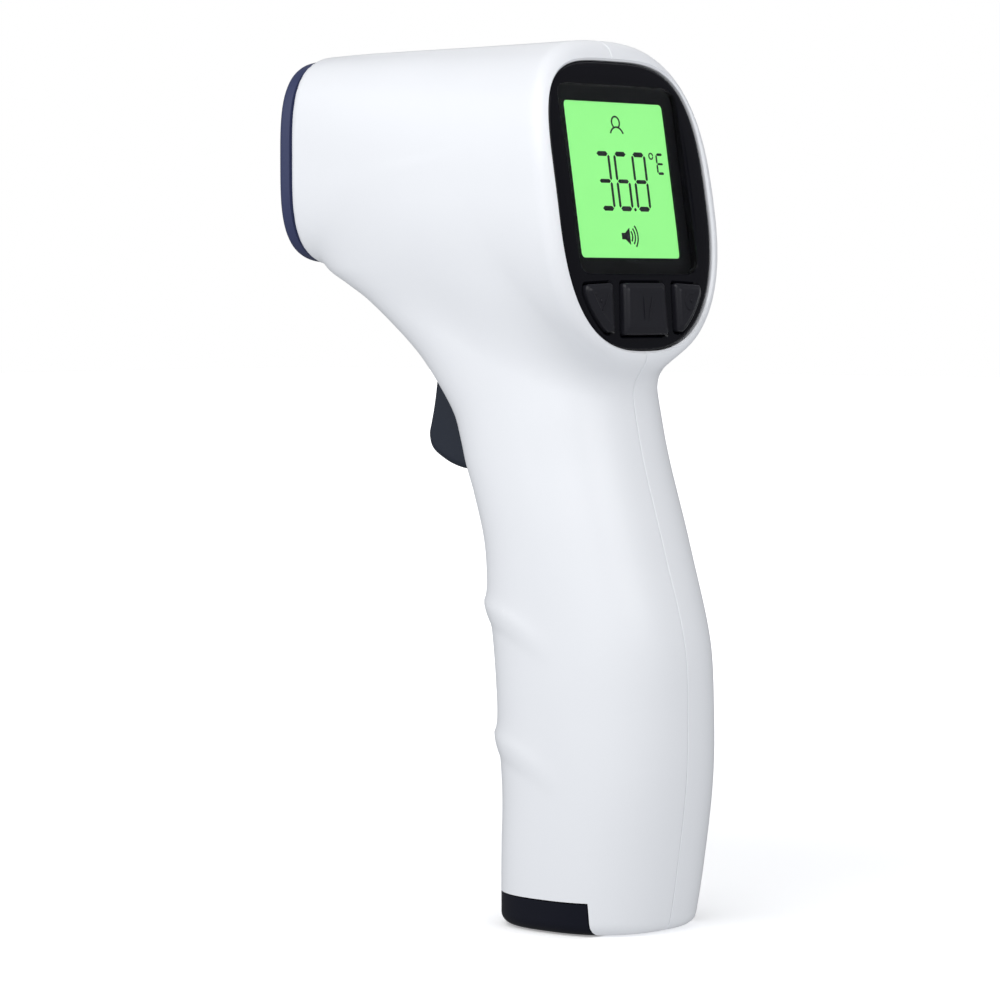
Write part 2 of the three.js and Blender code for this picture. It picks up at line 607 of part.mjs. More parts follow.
[-1, 1].forEach((side, i) => {
  const nub = [[1.9, CELL_TOP - 0.9], [1.9, CELL_TOP], [0, CELL_TOP]];
  const profile = [[0, CELL.low], [CELL.radius, CELL.low], [CELL.radius, CELL_TOP - 0.9], ...nub];
  const cell = turned(profile, "z", [side * CELL.x, CELL.y, 0], 20);
  if (side > 0) add(`battery_${i + 1}`, cell, CELL_JACKET);
  else {
    const flipped = cell.mirror([0, 0, 1]).translate([0, 0, 2 * CELL.low + CELL.length]);
    add(`battery_${i + 1}`, flipped, CELL_JACKET);
  }
});

const CONTACT_HALF = 3.4;
function contact(side, from, to) {
  const x = side * CELL.x;
  return box(x - CONTACT_HALF, x + CONTACT_HALF, CELL.y - CONTACT_HALF, CELL.y + CONTACT_HALF, from, to);
}

// A sleeve that widens or narrows on its way up, in the place of a coiled contact.
function contactSleeve(side, inner, [low, lowRadius], [high, highRadius]) {
  const profile = [[inner, low], [lowRadius, low], [highRadius, high], [inner, high], [inner, low]];
  return turned(profile, "z", [side * CELL.x, CELL.y, 0], 16);
}

add("positive_contact", contact(1, CELL_TOP + GAP, CELL_TOP + 0.8), STEEL);
const coil = contactSleeve(-1, 2.6, [CELL_TOP + GAP, 3.2], [CELL_TOP + 1.3, 3.6]);
add("negative_contact", union(contact(-1, CELL_TOP + 1.2, CELL_TOP + 1.7), coil), STEEL);
const linkPlate = box(-9.4, 9.4, CELL.y - 3, CELL.y + 3, CAP.floor + GAP, CAP.floor + 0.8);
const linkSpring = contactSleeve(1, 1.6, [CAP.floor + 0.6, 3.4], [CELL.low - GAP, 2.4]);
add("contact_link", union(linkPlate, linkSpring), STEEL);

// ---------------------------------------------------------------- wires

function wire(points, radius = 0.6) {
  const path = new THREE.CatmullRomCurve3(points.map((p) => new THREE.Vector3(...p)));
  return solid(new THREE.ExtrudeGeometry(hexagon(radius), { steps: 14, extrudePath: path }));
}

// From the cell holder up to the main board, on one side.
const batteryWire = (side) =>
  wire([
    [side * 4, 7.2, 52], [side * 5, 8.5, 59], [side * 7, 6, 71], [side * 8, 1, 85],
    [side * 8, -3.5, 95], [side * 7, -4.8, 102],
  ]);
add("battery_wire_red", batteryWire(1), RED);
add("battery_wire_black", batteryWire(-1), BLACK);
const sensorRoute = [[0, -42.5, 133], [0, -38, 134], [-1, -28, 131], [-2, -20, 127], [-2, -15.8, 125]];
add("sensor_cable", wire(sensorRoute, 1.2), RUBBER);

export default thermometer;
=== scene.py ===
"""A pistol-shaped infrared thermometer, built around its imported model.

Shapes are drawn in millimetres in the model's own frame (+Z up the grip, the sensor looks along -Y, the
display faces +Y) and are scaled to metres when a mesh is made.
"""
import json
import math

import bmesh
import bpy
import numpy as np
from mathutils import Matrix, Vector


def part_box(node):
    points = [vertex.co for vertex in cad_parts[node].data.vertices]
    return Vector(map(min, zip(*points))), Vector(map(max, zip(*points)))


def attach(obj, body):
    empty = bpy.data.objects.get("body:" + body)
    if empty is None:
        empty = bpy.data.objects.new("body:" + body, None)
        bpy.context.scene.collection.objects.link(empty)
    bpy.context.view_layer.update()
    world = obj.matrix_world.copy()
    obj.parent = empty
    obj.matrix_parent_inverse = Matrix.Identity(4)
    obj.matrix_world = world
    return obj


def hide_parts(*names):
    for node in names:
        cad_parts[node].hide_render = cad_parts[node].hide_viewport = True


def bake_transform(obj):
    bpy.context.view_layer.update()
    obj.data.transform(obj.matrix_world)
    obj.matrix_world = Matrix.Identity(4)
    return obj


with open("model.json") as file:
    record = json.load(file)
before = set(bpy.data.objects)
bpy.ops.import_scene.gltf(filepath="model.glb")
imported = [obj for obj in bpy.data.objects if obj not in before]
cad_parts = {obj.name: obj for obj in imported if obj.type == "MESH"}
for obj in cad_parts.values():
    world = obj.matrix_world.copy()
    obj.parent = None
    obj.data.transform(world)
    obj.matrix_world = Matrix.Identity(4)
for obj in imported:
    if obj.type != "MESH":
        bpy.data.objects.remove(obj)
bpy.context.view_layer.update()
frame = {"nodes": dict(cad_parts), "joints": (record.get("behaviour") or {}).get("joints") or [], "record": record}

MM = 0.001

# -------- driving dimensions, in mm

WALL = 2.0
GAP = 0.3

# Side and plan profiles: (place, value) rows.
GRIP_FRONT = [
    (0, -15.9), (12, -15.6), (22, -15.4), (30, -16.1), (38, -16.8), (46, -17.6), (56, -18.9),
    (65, -19.7), (73, -22.1), (78, -24.1), (82, -25.3), (86.5, -27), (92, -31.2), (96.5, -35.4),
    (101, -40.7), (106, -47.4), (108.8, -52.3), (111, -56.2), (113, -57.4),
]
GRIP_BACK = [
    (0, 15.4), (9, 17), (25, 19.2), (37, 19.5), (49, 18.7), (65, 14), (81, 9.2), (94, 6.8), (115, 4.5),
]
GRIP_HALF_WIDTH = [
    (0, 15), (12, 15.7), (33, 16.1), (69, 15.8), (87, 15.4), (100, 15.6), (112, 15.5), (124, 14),
]
GRIP_EXPONENT = [(0, 2.5), (95, 2.5), (108, 3)]  # of each level section's superellipse
GRIP_TOP = 124
BASE_EDGE = 2.0
# The grip's gap is measured level, so its wall gets this much more where the front leans forward.
LEANING_WALL = [(88, 0), (98, 0.9), (107, 2.0), (124, 2.0)]

HEAD_FRONT = -58.4
HEAD_TOP = [(HEAD_FRONT, 149), (-48, 149.3), (-20, 149.5), (13, 149.7)]
HEAD_BOTTOM = [(HEAD_FRONT, 112), (-40, 108.4), (-20, 102.8), (-6, 98), (4, 95.3), (13, 94.5)]
HEAD_HALF_WIDTH = [(HEAD_FRONT, 15.5), (-40, 17.6), (-20, 19.6), (-5, 21.1), (4, 22.1), (13, 22.6)]
# Of each upright section's superellipse, above and below its middle.
HEAD_UPPER_EXPONENT = [(HEAD_FRONT, 3.4), (-40, 2.9), (-20, 2.7), (13, 3)]
HEAD_LOWER_EXPONENT = [(HEAD_FRONT, 3.5), (-40, 2.9), (-20, 2.6), (13, 2.45)]
FRONT_EDGE = 1.0
BLEND = [(-58, 0.8), (-54, 3), (-44, 4.5), (-26, 6.5), (-8, 8), (12, 5)]  # fillet from grip to head

# Lips under two fingers: height of the crease at the front, and how far each stands out.
FINGER_LIPS = [(50.9, 1.0), (28.6, 0.9)]
LIP_RISE = 4.0  # from the crease up to where the lip stands out most
LIP_FALL = 1.6  # how fast it fades above that
LIP_DROP = 0.016  # how the crease falls away around the side, per mm squared
LIP_REACH = 21

# The display face.
PANEL_MIDDLE = Vector((0, 6.1, 121.7))
PANEL_BULGE = 1.5
PANEL_HALF_WIDTH = 19.5
PANEL_HALF_HEIGHT = 24.5
PANEL_TOP_EXPONENT = 3.6
PANEL_BOTTOM_EXPONENT = 2.6
RIM_RAISED = 0.5
RIM_ROUND = 2.6
BEZEL_BACK = -2.5

WINDOW = {"half": 15.3, "low": -11.7, "high": 20.4, "back": -0.6, "corner": 3.0}
LCD_FRONT = -1.0
LCD_VIEW = {"half": 12.8, "low": -8.8, "high": 17.7, "corner": 0.9}
LCD_OPENING = {"half": 14.2, "low": -11.1, "high": 18.9, "corner": 0.5}
MASK_FROM = -0.95
MASK_TO = -0.66

KEY_TOP = -13.3
KEY_PROUD = 1.1
CENTRE_KEY = {"top": 5.3, "bottom": 5.8, "low": -22.0}
SIDE_KEY = {"inner": 8.1, "outer": 15.9, "low": -21.4, "border": 2.2}
KEY_CORNER = 0.7
KEY_BACK = -3.6
KEY_DISH = 0.16

NOSE_Z = 130.7
NOSE_FRONT = -62.2
NOSE_INSET = 0.7
NOSE_GROOVE = {"deep": 0.5, "wide": 0.4}  # the shadow line behind the ring
NOSE_FLAT = 1.3  # where the ring's rounded front edge starts, from its front
NOSE_EDGE = 1.2
# The ring's face from its rounded edge inwards, and its bore: (radius, place behind the front) rows.
NOSE_DISH = [(10.1, 0.75), (9.5, 0.6), (9.2, 0.25), (8.6, 0.2), (8.05, 0.5), (7.95, 1.1)]
SPIGOT = {"bore": 9.1, "outside": 10.8, "length": 3.8}  # the ring's tube inside the housing
PORT_RADIUS = 11.1

CONE = {"mouth": 7.6, "foot": 8.6, "throat": 3.3, "end": -52.3}
CONE_STEPS = {"count": 5, "narrow": 3.6, "wide": 6.7, "from": -52.5}
FILTER = {"radius": 2.85, "back": -50.35, "front": -50.7, "dome": 0.35}

TRIGGER_HALF_WIDTH = 5.7
SLOT = {"half": 6.0, "low": 75.8, "high": 94.8, "corner": 1.6}
SLOT_REACH = (-50, -17)  # from in front of the grip to inside its front wall
PIN_HOLE = 1.5
SCREW_COLUMN = 3.8
RECESS = {"radius": 2.75, "floor": -5.4}
CAP = {"top": 5.5, "back": 9.2, "floor": 1.8, "gap": 0.12}
CAP_GROOVE = {"half": 6, "shorter": 1.2, "pitch": 1.5, "from": -9.5, "to": -8.9, "deep": 0.35}
CAP_TONGUE = {"half": 5, "end": 10.9, "low": 1.3, "high": 3.6}

# -------- the frame's own places


def joint(name):
    return next(j for j in frame["joints"] if j["name"] == name)


OUT = -Vector(joint("button_center_press")["axis"]).normalized()
RIGHT = Vector((-1, 0, 0))
UP = OUT.cross(RIGHT)
PANEL_AXES = np.array([RIGHT, UP, OUT])


def to_body(points):
    """Display-face coordinates (right, up, out) to the model's frame."""
    return np.asarray(points, float) @ PANEL_AXES + np.array(PANEL_MIDDLE)


def node_middle(name):
    low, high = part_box(name)
    return (low + high) / 2 / MM


def screw_places():
    """(name, y, z) of each housing screw, in mm."""
    names = sorted(n for n in frame["nodes"] if n.startswith("housing_screw"))
    return [(name, node_middle(name).y, node_middle(name).z) for name in names]


SCREWS = screw_places()

# -------- the body's form, as distances


def along(rows, t):
    """A smooth curve through (place, value) rows, level beyond its ends."""
    places = np.array([row[0] for row in rows], float)
    values = np.array([row[1] for row in rows], float)
    padded_places = np.concatenate([places[:1], places, places[-1:]])
    padded_values = np.concatenate([values[:1], values, values[-1:]])
    slopes = (padded_values[2:] - padded_values[:-2]) / (padded_places[2:] - padded_places[:-2])
    t = np.clip(t, places[0], places[-1])
    i = np.clip(np.searchsorted(places, t, side="right") - 1, 0, len(rows) - 2)
    h = places[i + 1] - places[i]
    s = (t - places[i]) / h
    rise = values[i + 1] - values[i]
    m0, m1 = slopes[i] * h, slopes[i + 1] * h
    return values[i] + s * m0 + s**2 * (3 * rise - 2 * m0 - m1) + s**3 * (m0 + m1 - 2 * rise)


def superellipse_gap(u, v, a, b, exponent):
    """How far (u, v) is outside a superellipse, measured through its middle."""
    reach = np.hypot(u, v)
    size = (np.abs(u / a) ** exponent + np.abs(v / b) ** exponent) ** (1 / exponent)
    return reach - reach / np.maximum(size, 1e-3)


def round_meet(a, b, radius):
    """Where two solids overlap, with the edge between them rounded."""
    edge = np.hypot(np.maximum(a + radius, 0), np.maximum(b + radius, 0))
    return np.minimum(np.maximum(a, b), -radius) + edge


def round_join(a, b, radius):
    """Two solids together, with a fillet in the corner between them."""
    corner = np.hypot(np.maximum(radius - a, 0), np.maximum(radius - b, 0))
    return np.maximum(np.minimum(a, b), radius) - corner


def finger_lips(back_from_front, z):
    """How far the finger lips stand out of the grip's front."""
    around = np.maximum(back_from_front, 0)
    fade = np.clip(1 - around / LIP_REACH, 0, 1) ** 0.8
    total = 0
    for height, proud in FINGER_LIPS:
        above = z - (height - LIP_DROP * around**2)
        rise = 1 - (1 - np.clip(above / LIP_RISE, 0, 1)) ** 2
        total = total + proud * fade * rise * np.exp(-np.maximum(above - LIP_RISE, 0) / LIP_FALL)
    return total


def grip_gap(x, y, z):
    front = along(GRIP_FRONT, z)
    back = along(GRIP_BACK, z)
    half = along(GRIP_HALF_WIDTH, z)
    exponent = along(GRIP_EXPONENT, z)
    side = superellipse_gap(x, y - (front + back) / 2, half, (back - front) / 2, exponent)
    side = side - finger_lips(y - front, z)
    return np.maximum(round_meet(side, -z, BASE_EDGE), z - GRIP_TOP)


def panel_out(y, z):
    """(up, out) on the display face."""
    dy, dz = y - PANEL_MIDDLE.y, z - PANEL_MIDDLE.z
    return dy * UP.y + dz * UP.z, dy * OUT.y + dz * OUT.z


def face_height(up):
    return PANEL_BULGE * (1 - (up / PANEL_HALF_HEIGHT) ** 2)


def head_gap(x, y, z):
    top, bottom = along(HEAD_TOP, y), along(HEAD_BOTTOM, y)
    half, height = along(HEAD_HALF_WIDTH, y), z - (top + bottom) / 2
    exponent = np.where(height > 0, along(HEAD_UPPER_EXPONENT, y), along(HEAD_LOWER_EXPONENT, y))
    side = superellipse_gap(x, height, half, (top - bottom) / 2, exponent)
    side = round_meet(side, HEAD_FRONT - y, FRONT_EDGE)
    up, out = panel_out(y, z)
    return round_meet(side, out - face_height(up) - RIM_RAISED, RIM_ROUND)


def outer_gap(x, y, z):
    return round_join(head_gap(x, y, z), grip_gap(x, y, z), along(BLEND, y))


def shell_gap(x, y, z):
    """The housing as one hollow wall, with a column round each screw."""
    head, grip = head_gap(x, y, z), grip_gap(x, y, z)
    fillet = along(BLEND, y)
    outer = round_join(head, grip, fillet)
    inner = round_join(head + WALL, grip + WALL + along(LEANING_WALL, z), fillet)
    hollow = np.maximum(inner, panel_out(y, z)[1] - BEZEL_BACK + GAP)
    for _, screw_y, screw_z in SCREWS:
        hollow = np.maximum(hollow, SCREW_COLUMN - np.hypot(y - screw_y, z - screw_z))
    return np.maximum(outer, -hollow)


# -------- meshes from distances


def surface_net(gap, low, high, step):
    """Points and quads of the surface where gap is zero."""
    axes = [np.arange(a, b + step, step) for a, b in zip(low, high)]
    grid = gap(*np.meshgrid(*axes, indexing="ij", sparse=True))
    cells = tuple(n - 1 for n in grid.shape)
    total = np.zeros(cells + (3,))
    hits = np.zeros(cells)
    crossings = []
    for axis in range(3):
        first, second = [slice(None)] * 3, [slice(None)] * 3
        first[axis], second[axis] = slice(0, -1), slice(1, None)
        a, b = grid[tuple(first)], grid[tuple(second)]
        crossed = (a < 0) != (b < 0)
        index = np.argwhere(crossed)
        place = index.astype(float)
        place[:, axis] += a[crossed] / (a[crossed] - b[crossed])
        u, v = [k for k in range(3) if k != axis]
        around = []
        for du, dv in ((0, 0), (1, 0), (1, 1), (0, 1)):
            cell = index.copy()
            cell[:, u] -= du
            cell[:, v] -= dv
            cell = tuple(cell.T)
            total[cell] += place
            hits[cell] += 1
            around.append(np.ravel_multi_index(cell, cells))
        turned = (a[crossed] < 0) == (axis == 1)
        quads = np.stack(around, 1)
        quads[turned] = quads[turned][:, ::-1]
        crossings.append(quads)
    used = np.flatnonzero(hits)
    points = total.reshape(-1, 3)[used] / hits.reshape(-1)[used, None]
    points = points * step + np.array([axis[0] for axis in axes])
    number = np.full(hits.size, -1)
    number[used] = np.arange(len(used))
    return settle(gap, points, step), number[np.concatenate(crossings)]


def settle(gap, points, step, passes=3):
    """Moves points onto the surface along its slope."""
    reach = 0.05
    for _ in range(passes):
        here = gap(*points.T)
        slope = np.empty_like(points)
        for axis in range(3):
            ahead, behind = points.copy(), points.copy()
            ahead[:, axis] += reach
            behind[:, axis] -= reach
            slope[:, axis] = (gap(*ahead.T) - gap(*behind.T)) / (2 * reach)
        size = np.maximum((slope**2).sum(1), 0.2)
        move = -(here / size)[:, None] * slope
        points = points + np.clip(move, -step / 2, step / 2)
    return points


# -------- meshes from loops of points


def skin(loops, ring=False):
    """Quads between loops of equal length. The ends are closed, or joined to each other in a ring."""
    loops = [np.asarray(loop, float) for loop in loops]
    count = len(loops[0])
    rows = len(loops) if ring else len(loops) - 1
    faces = []
    for i in range(rows):
        here, there = i * count, ((i + 1) % len(loops)) * count
        for j in range(count):
            k = (j + 1) % count
            faces.append((here + j, here + k, there + k, there + j))
    if not ring:
        faces.append(tuple(range(count - 1, -1, -1)))
        end = (len(loops) - 1) * count
        faces.append(tuple(range(end, end + count)))
    return np.concatenate(loops), faces


def shift_outline(corners, margin):
    """A polygon with each side moved out by margin."""
    corners = np.asarray(corners, float)
    before, after = np.roll(corners, 1, 0), np.roll(corners, -1, 0)
    along_in = corners - before
    along_out = after - corners
    along_in /= np.linalg.norm(along_in, axis=1)[:, None]
    along_out /= np.linalg.norm(along_out, axis=1)[:, None]
    normal_in = np.stack([along_in[:, 1], -along_in[:, 0]], 1)
    normal_out = np.stack([along_out[:, 1], -along_out[:, 0]], 1)
    middle = normal_in + normal_out
    return corners + middle * margin / (0.5 * (middle**2).sum(1))[:, None]


def round_corners(corners, radius, steps=5):
    """A polygon with each corner turned into an arc of about radius."""
    corners = np.asarray(corners, float)
    points = []
    for i, corner in enumerate(corners):
        to_before = corners[i - 1] - corner
        to_after = corners[(i + 1) % len(corners)] - corner
        reach = min(radius, np.linalg.norm(to_before) * 0.45, np.linalg.norm(to_after) * 0.45)
        start = corner + to_before / np.linalg.norm(to_before) * reach
        end = corner + to_after / np.linalg.norm(to_after) * reach
        for t in np.linspace(0, 1, steps + 1):
            points.append((1 - t) ** 2 * start + 2 * t * (1 - t) * corner + t**2 * end)
    return np.array(points)


def circle(radius, count=48):
    angle = np.linspace(0, 2 * math.pi, count, endpoint=False)
    return np.stack([radius * np.cos(angle), radius * np.sin(angle)], 1)


def quarter_round(radius, steps, rise=None):
    """(inset, rise) pairs round an edge, from its side to its top."""
    for turn in np.linspace(0, math.pi / 2, steps)[1:]:
        yield radius * (1 - math.cos(turn)), (rise or radius) * math.sin(turn)


def on_face(outline, offset):
    """An outline lifted to the bulging display face, plus offset."""
    return np.column_stack([outline, face_height(outline[:, 1]) + offset])


def at_level(outline, level):
    return np.column_stack([outline, np.full(len(outline), float(level))])


def turned(profile, centre, axis="y", count=96):
    """Loops of a solid of revolution about a line along X, Y or Z."""
    loops = []
    for radius, place in profile:
        ring = circle(max(radius, 1e-3), count)
        flat = np.full(count, float(place))
        if axis == "y":
            loop = np.column_stack([ring[:, 0], flat, ring[:, 1]])
        elif axis == "x":
            loop = np.column_stack([flat, ring[:, 0], ring[:, 1]])
        else:
            loop = np.column_stack([ring[:, 0], ring[:, 1], flat])
        loops.append(loop + np.asarray(centre, float))
    return loops


# -------- objects


def new_object(name, points, faces):
    mesh = bpy.data.meshes.new(name)
    mesh.from_pydata((np.asarray(points) * MM).tolist(), [], [tuple(int(i) for i in f) for f in faces])
    mesh.validate()
    piece = bpy.data.objects.new(name, mesh)
    bpy.context.scene.collection.objects.link(piece)
    return piece


def face_outwards(piece):
    body = bmesh.new()
    body.from_mesh(piece.data)
    bmesh.ops.recalc_face_normals(body, faces=body.faces)
    body.to_mesh(piece.data)
    body.free()
    return piece


def lofted(name, loops, ring=False):
    return face_outwards(new_object(name, *skin(loops, ring)))


def bake_modifiers(piece):
    graph = bpy.context.evaluated_depsgraph_get()
    mesh = bpy.data.meshes.new_from_object(piece.evaluated_get(graph), depsgraph=graph)
    old = piece.data
    piece.modifiers.clear()
    piece.data = mesh
    bpy.data.meshes.remove(old)


def combine(piece, tool, operation):
    """Cuts piece by tool, keeps their overlap, or joins them, and removes the tool."""
    change = piece.modifiers.new("combine", "BOOLEAN")
    change.operation = operation
    change.object = tool
    change.solver = "MANIFOLD"
    bake_modifiers(piece)
    bpy.data.objects.remove(tool)


def cut(piece, *tools):
    for tool in tools:
        combine(piece, tool, "DIFFERENCE")


def block(low, high):
    (x0, y0, z0), (x1, y1, z1) = low, high
    loops = [[(x0, y0, z), (x1, y0, z), (x1, y1, z), (x0, y1, z)] for z in (z0, z1)]
    return lofted("block", loops)


CREASE = math.radians(32)  # edges that turn by more than this stay sharp


def finish_piece(piece, look, body, stands_for=()):
    """Gives a piece its look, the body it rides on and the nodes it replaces."""
    piece.data.materials.clear()
    piece.data.materials.append(LOOKS[look])
    piece.data.polygons.foreach_set("use_smooth", [True] * len(piece.data.polygons))
    piece.data.set_sharp_from_angle(angle=CREASE)
    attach(piece, body)
    if stands_for:
        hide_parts(*stands_for)


def join_pieces(pieces):
    """Several objects as one mesh, each part closed in itself."""
    body = bmesh.new()
    for piece in pieces:
        body.from_mesh(piece.data)
    first = pieces[0]
    body.to_mesh(first.data)
    body.free()
    for piece in pieces[1:]:
        bpy.data.objects.remove(piece)
    return first


# -------- materials


def material(name, colour, roughness, metallic=0.0, coat=0.0, specular=0.5):
    """A named material with its node tree and its main shader."""
    made = bpy.data.materials.new(name)
    made.use_nodes = True
    tree = made.node_tree
    shader = tree.nodes["Principled BSDF"]
    shader.inputs["Base Color"].default_value = (*colour, 1)
    shader.inputs["Roughness"].default_value = roughness
    shader.inputs["Metallic"].default_value = metallic
    shader.inputs["Coat Weight"].default_value = coat
    shader.inputs["Coat Roughness"].default_value = 0.08
    shader.inputs["Specular IOR Level"].default_value = specular
    return made, tree, shader


def add_node(tree, kind, values=()):
    """A shader node with (input, value) pairs set."""
    made = tree.nodes.new(f"ShaderNode{kind}")
    for name, value in values:
        made.inputs[name].default_value = value
    return made


def object_place(tree):
    return add_node(tree, "TexCoord").outputs["Object"]


def noise(tree, size, detail=3.0, roughness=0.5):
    """Noise whose features are about size metres."""
    values = [("Scale", 1 / size), ("Detail", detail), ("Roughness", roughness)]
    made = add_node(tree, "TexNoise", values)
    tree.links.new(object_place(tree), made.inputs["Vector"])
    return made


def map_range(tree, value, start, stop, low, high):
    """Maps start to stop onto low to high."""
    values = [("From Min", start), ("From Max", stop), ("To Min", low), ("To Max", high)]
    made = add_node(tree, "MapRange", values)
    tree.links.new(value, made.inputs["Value"])
    return made


def spread(tree, value, low, high):
    """Maps the middle of a noise's values onto a range."""
    return map_range(tree, value, 0.3, 0.7, low, high).outputs["Result"]


def mix_colours(tree, factor, dark, light):
    made = tree.nodes.new("ShaderNodeMix")
    made.data_type = "RGBA"
    made.inputs["A"].default_value = (*dark, 1)
    made.inputs["B"].default_value = (*light, 1)
    tree.links.new(factor, made.inputs["Factor"])
    return made.outputs["Result"]


def bump(tree, shader, height, distance, strength=1.0):
    made = add_node(tree, "Bump", [("Strength", strength), ("Distance", distance)])
    tree.links.new(height, made.inputs["Height"])
    tree.links.new(made.outputs["Normal"], shader.inputs["Normal"])
    return made


def moulded(name, colour, roughness, grain, depth, tint=0.04, coat=0.0, specular=0.5):
    """Moulded plastic: a fine grain in the surface, slow changes of gloss, and faint mottling."""
    made, tree, shader = material(name, colour, roughness, coat=coat, specular=specular)
    fine = noise(tree, grain, detail=2.0)
    slow = noise(tree, 0.018, detail=4.0)
    darker = tuple(c * (1 - tint) for c in colour)
    lighter = tuple(min(c * (1 + tint), 1) for c in colour)
    mottled = mix_colours(tree, slow.outputs["Fac"], darker, lighter)
    tree.links.new(mottled, shader.inputs["Base Color"])
    gloss = spread(tree, slow.outputs["Fac"], roughness * 0.88, roughness * 1.12)
    tree.links.new(gloss, shader.inputs["Roughness"])
    bump(tree, shader, fine.outputs["Fac"], depth)
    return made


def metal(name, colour, roughness, streak):
    """Plated or turned metal, with streaks drawn out along one way."""
    made, tree, shader = material(name, colour, roughness, metallic=1.0)
    stretch = add_node(tree, "Mapping", [("Scale", streak)])
    tree.links.new(object_place(tree), stretch.inputs["Vector"])
    lines = add_node(tree, "TexNoise", [("Scale", 900)])
    tree.links.new(stretch.outputs["Vector"], lines.inputs["Vector"])
    gloss = spread(tree, lines.outputs["Fac"], roughness * 0.7, roughness * 1.4)
    tree.links.new(gloss, shader.inputs["Roughness"])
    bump(tree, shader, lines.outputs["Fac"], 0.00001)
    return made


def painted_glow_display(name, colour):
    """The display: its green glows of itself, painted light that stands in for the lamp light the clear window
    keeps from it, varying a little at random.
    """
    made, tree, shader = material(name, tuple(c * 0.25 for c in colour), 0.35)
    slow = noise(tree, 0.012, detail=1.0)
    glow = mix_colours(tree, slow.outputs["Fac"], tuple(c * 0.96 for c in colour), colour)
    tree.links.new(glow, shader.inputs["Emission Color"])
    # painted light: this emission makes the display bright in place of light falling on it through the window
    shader.inputs["Emission Strength"].default_value = 0.92
    bump(tree, shader, noise(tree, 0.0002).outputs["Fac"], 0.000002)
    return made


def clear_window(name):
    """Clear polycarbonate with a few soft flow marks."""
    made, tree, shader = material(name, (0.97, 0.99, 0.98), 0.03)
    shader.inputs["Transmission Weight"].default_value = 1.0
    shader.inputs["IOR"].default_value = 1.12
    flow = noise(tree, 0.02, detail=1.0)
    gloss = spread(tree, flow.outputs["Fac"], 0.015, 0.05)
    tree.links.new(gloss, shader.inputs["Roughness"])
    bump(tree, shader, flow.outputs["Fac"], 0.00001)
    return made


def circuit_board(name):
    """Green solder mask over copper traces."""
    made, tree, shader = material(name, (0.02, 0.17, 0.06), 0.35, coat=0.4)
    traces = add_node(tree, "TexBrick", [
        ("Scale", 420), ("Mortar Size", 0.08), ("Color1", (0.015, 0.13, 0.045, 1)),
        ("Color2", (0.02, 0.16, 0.055, 1)), ("Mortar", (0.06, 0.3, 0.1, 1)),
    ])
    tree.links.new(object_place(tree), traces.inputs["Vector"])
    tree.links.new(traces.outputs["Color"], shader.inputs["Base Color"])
    bump(tree, shader, traces.outputs["Fac"], 0.00003)
    return made


def cell_jacket(name, low, high):
    """A plain cell jacket: dark below, with a bright band over its top fifth."""
    made, tree, shader = material(name, (0.05, 0.18, 0.5), 0.3, metallic=0.5, coat=0.5)
    parts = add_node(tree, "SeparateXYZ")
    height = map_range(tree, parts.outputs["Z"], low, high, 0, 1)
    bands = add_node(tree, "ValToRGB")
    bands.color_ramp.interpolation = "CONSTANT"
    bands.color_ramp.elements[0].color = (0.04, 0.13, 0.36, 1)
    bands.color_ramp.elements[1].position = 0.8
    bands.color_ramp.elements[1].color = (0.75, 0.6, 0.28, 1)
    tree.links.new(object_place(tree), parts.inputs["Vector"])
    tree.links.new(height.outputs["Result"], bands.inputs["Fac"])
    tree.links.new(bands.outputs["Color"], shader.inputs["Base Color"])
    gloss = spread(tree, noise(tree, 0.004).outputs["Fac"], 0.24, 0.36)
    tree.links.new(gloss, shader.inputs["Roughness"])
    return made


cells_low, cells_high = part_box("battery_1")
LOOKS = {
    "housing": moulded("abs_white", (0.785, 0.796, 0.825), 0.36, 0.00025, 0.000006, tint=0.008, coat=0.1),
    "nose_trim": moulded("abs_slate", (0.037, 0.046, 0.112), 0.4, 0.0002, 0.000006, specular=0.3),
    "black_gloss": moulded("abs_black_gloss", (0.004, 0.004, 0.007), 0.14, 0.0004, 0.000002, specular=0.3),
    "mask": moulded("printed_black", (0.003, 0.003, 0.005), 0.5, 0.0001, 0.000001, specular=0.2),
    "keys": moulded("key_black", (0.014, 0.014, 0.019), 0.3, 0.0002, 0.000005, specular=0.4),
    "window": clear_window("window_clear"),
    # the display's green is a painted glow, emitted rather than lit by the lamps
    "display": painted_glow_display("display_green_painted_glow", (0.30, 0.90, 0.26)),
    "ink": moulded("display_ink", (0.012, 0.012, 0.018), 0.4, 0.0001, 0.000001),
    "milky": moulded("natural_plastic", (0.72, 0.73, 0.69), 0.5, 0.0004, 0.00001),
    "charcoal": moulded("abs_charcoal", (0.018, 0.023, 0.036), 0.4, 0.00018, 0.000012, specular=0.3),
    "cap_black": moulded("abs_black_satin", (0.006, 0.007, 0.015), 0.44, 0.00018, 0.000014, specular=0.25),
    "circuit_board": circuit_board("solder_mask"),
    "red_insulation": moulded("insulation_red", (0.5, 0.02, 0.02), 0.45, 0.0005, 0.000008),
    "black_insulation": moulded("insulation_black", (0.02, 0.02, 0.022), 0.45, 0.0005, 0.000008),
    "soft_grey": moulded("rubber_grey", (0.14, 0.14, 0.15), 0.65, 0.0003, 0.00001),
    "cell_jacket": cell_jacket("cell_jacket", cells_low.z, cells_high.z),
    "filter": moulded("infrared_filter", (0.03, 0.028, 0.05), 0.06, 0.0006, 0.000001, coat=0.8),
    "aluminium": metal("turned_aluminium", (0.78, 0.79, 0.80), 0.3, (1, 12, 1)),
    "spring_steel": metal("nickel_plate", (0.66, 0.67, 0.68), 0.24, (1, 1, 8)),
    "steel": metal("zinc_plate", (0.62, 0.63, 0.66), 0.32, (1, 6, 1)),
}

# -------- the display face's outlines


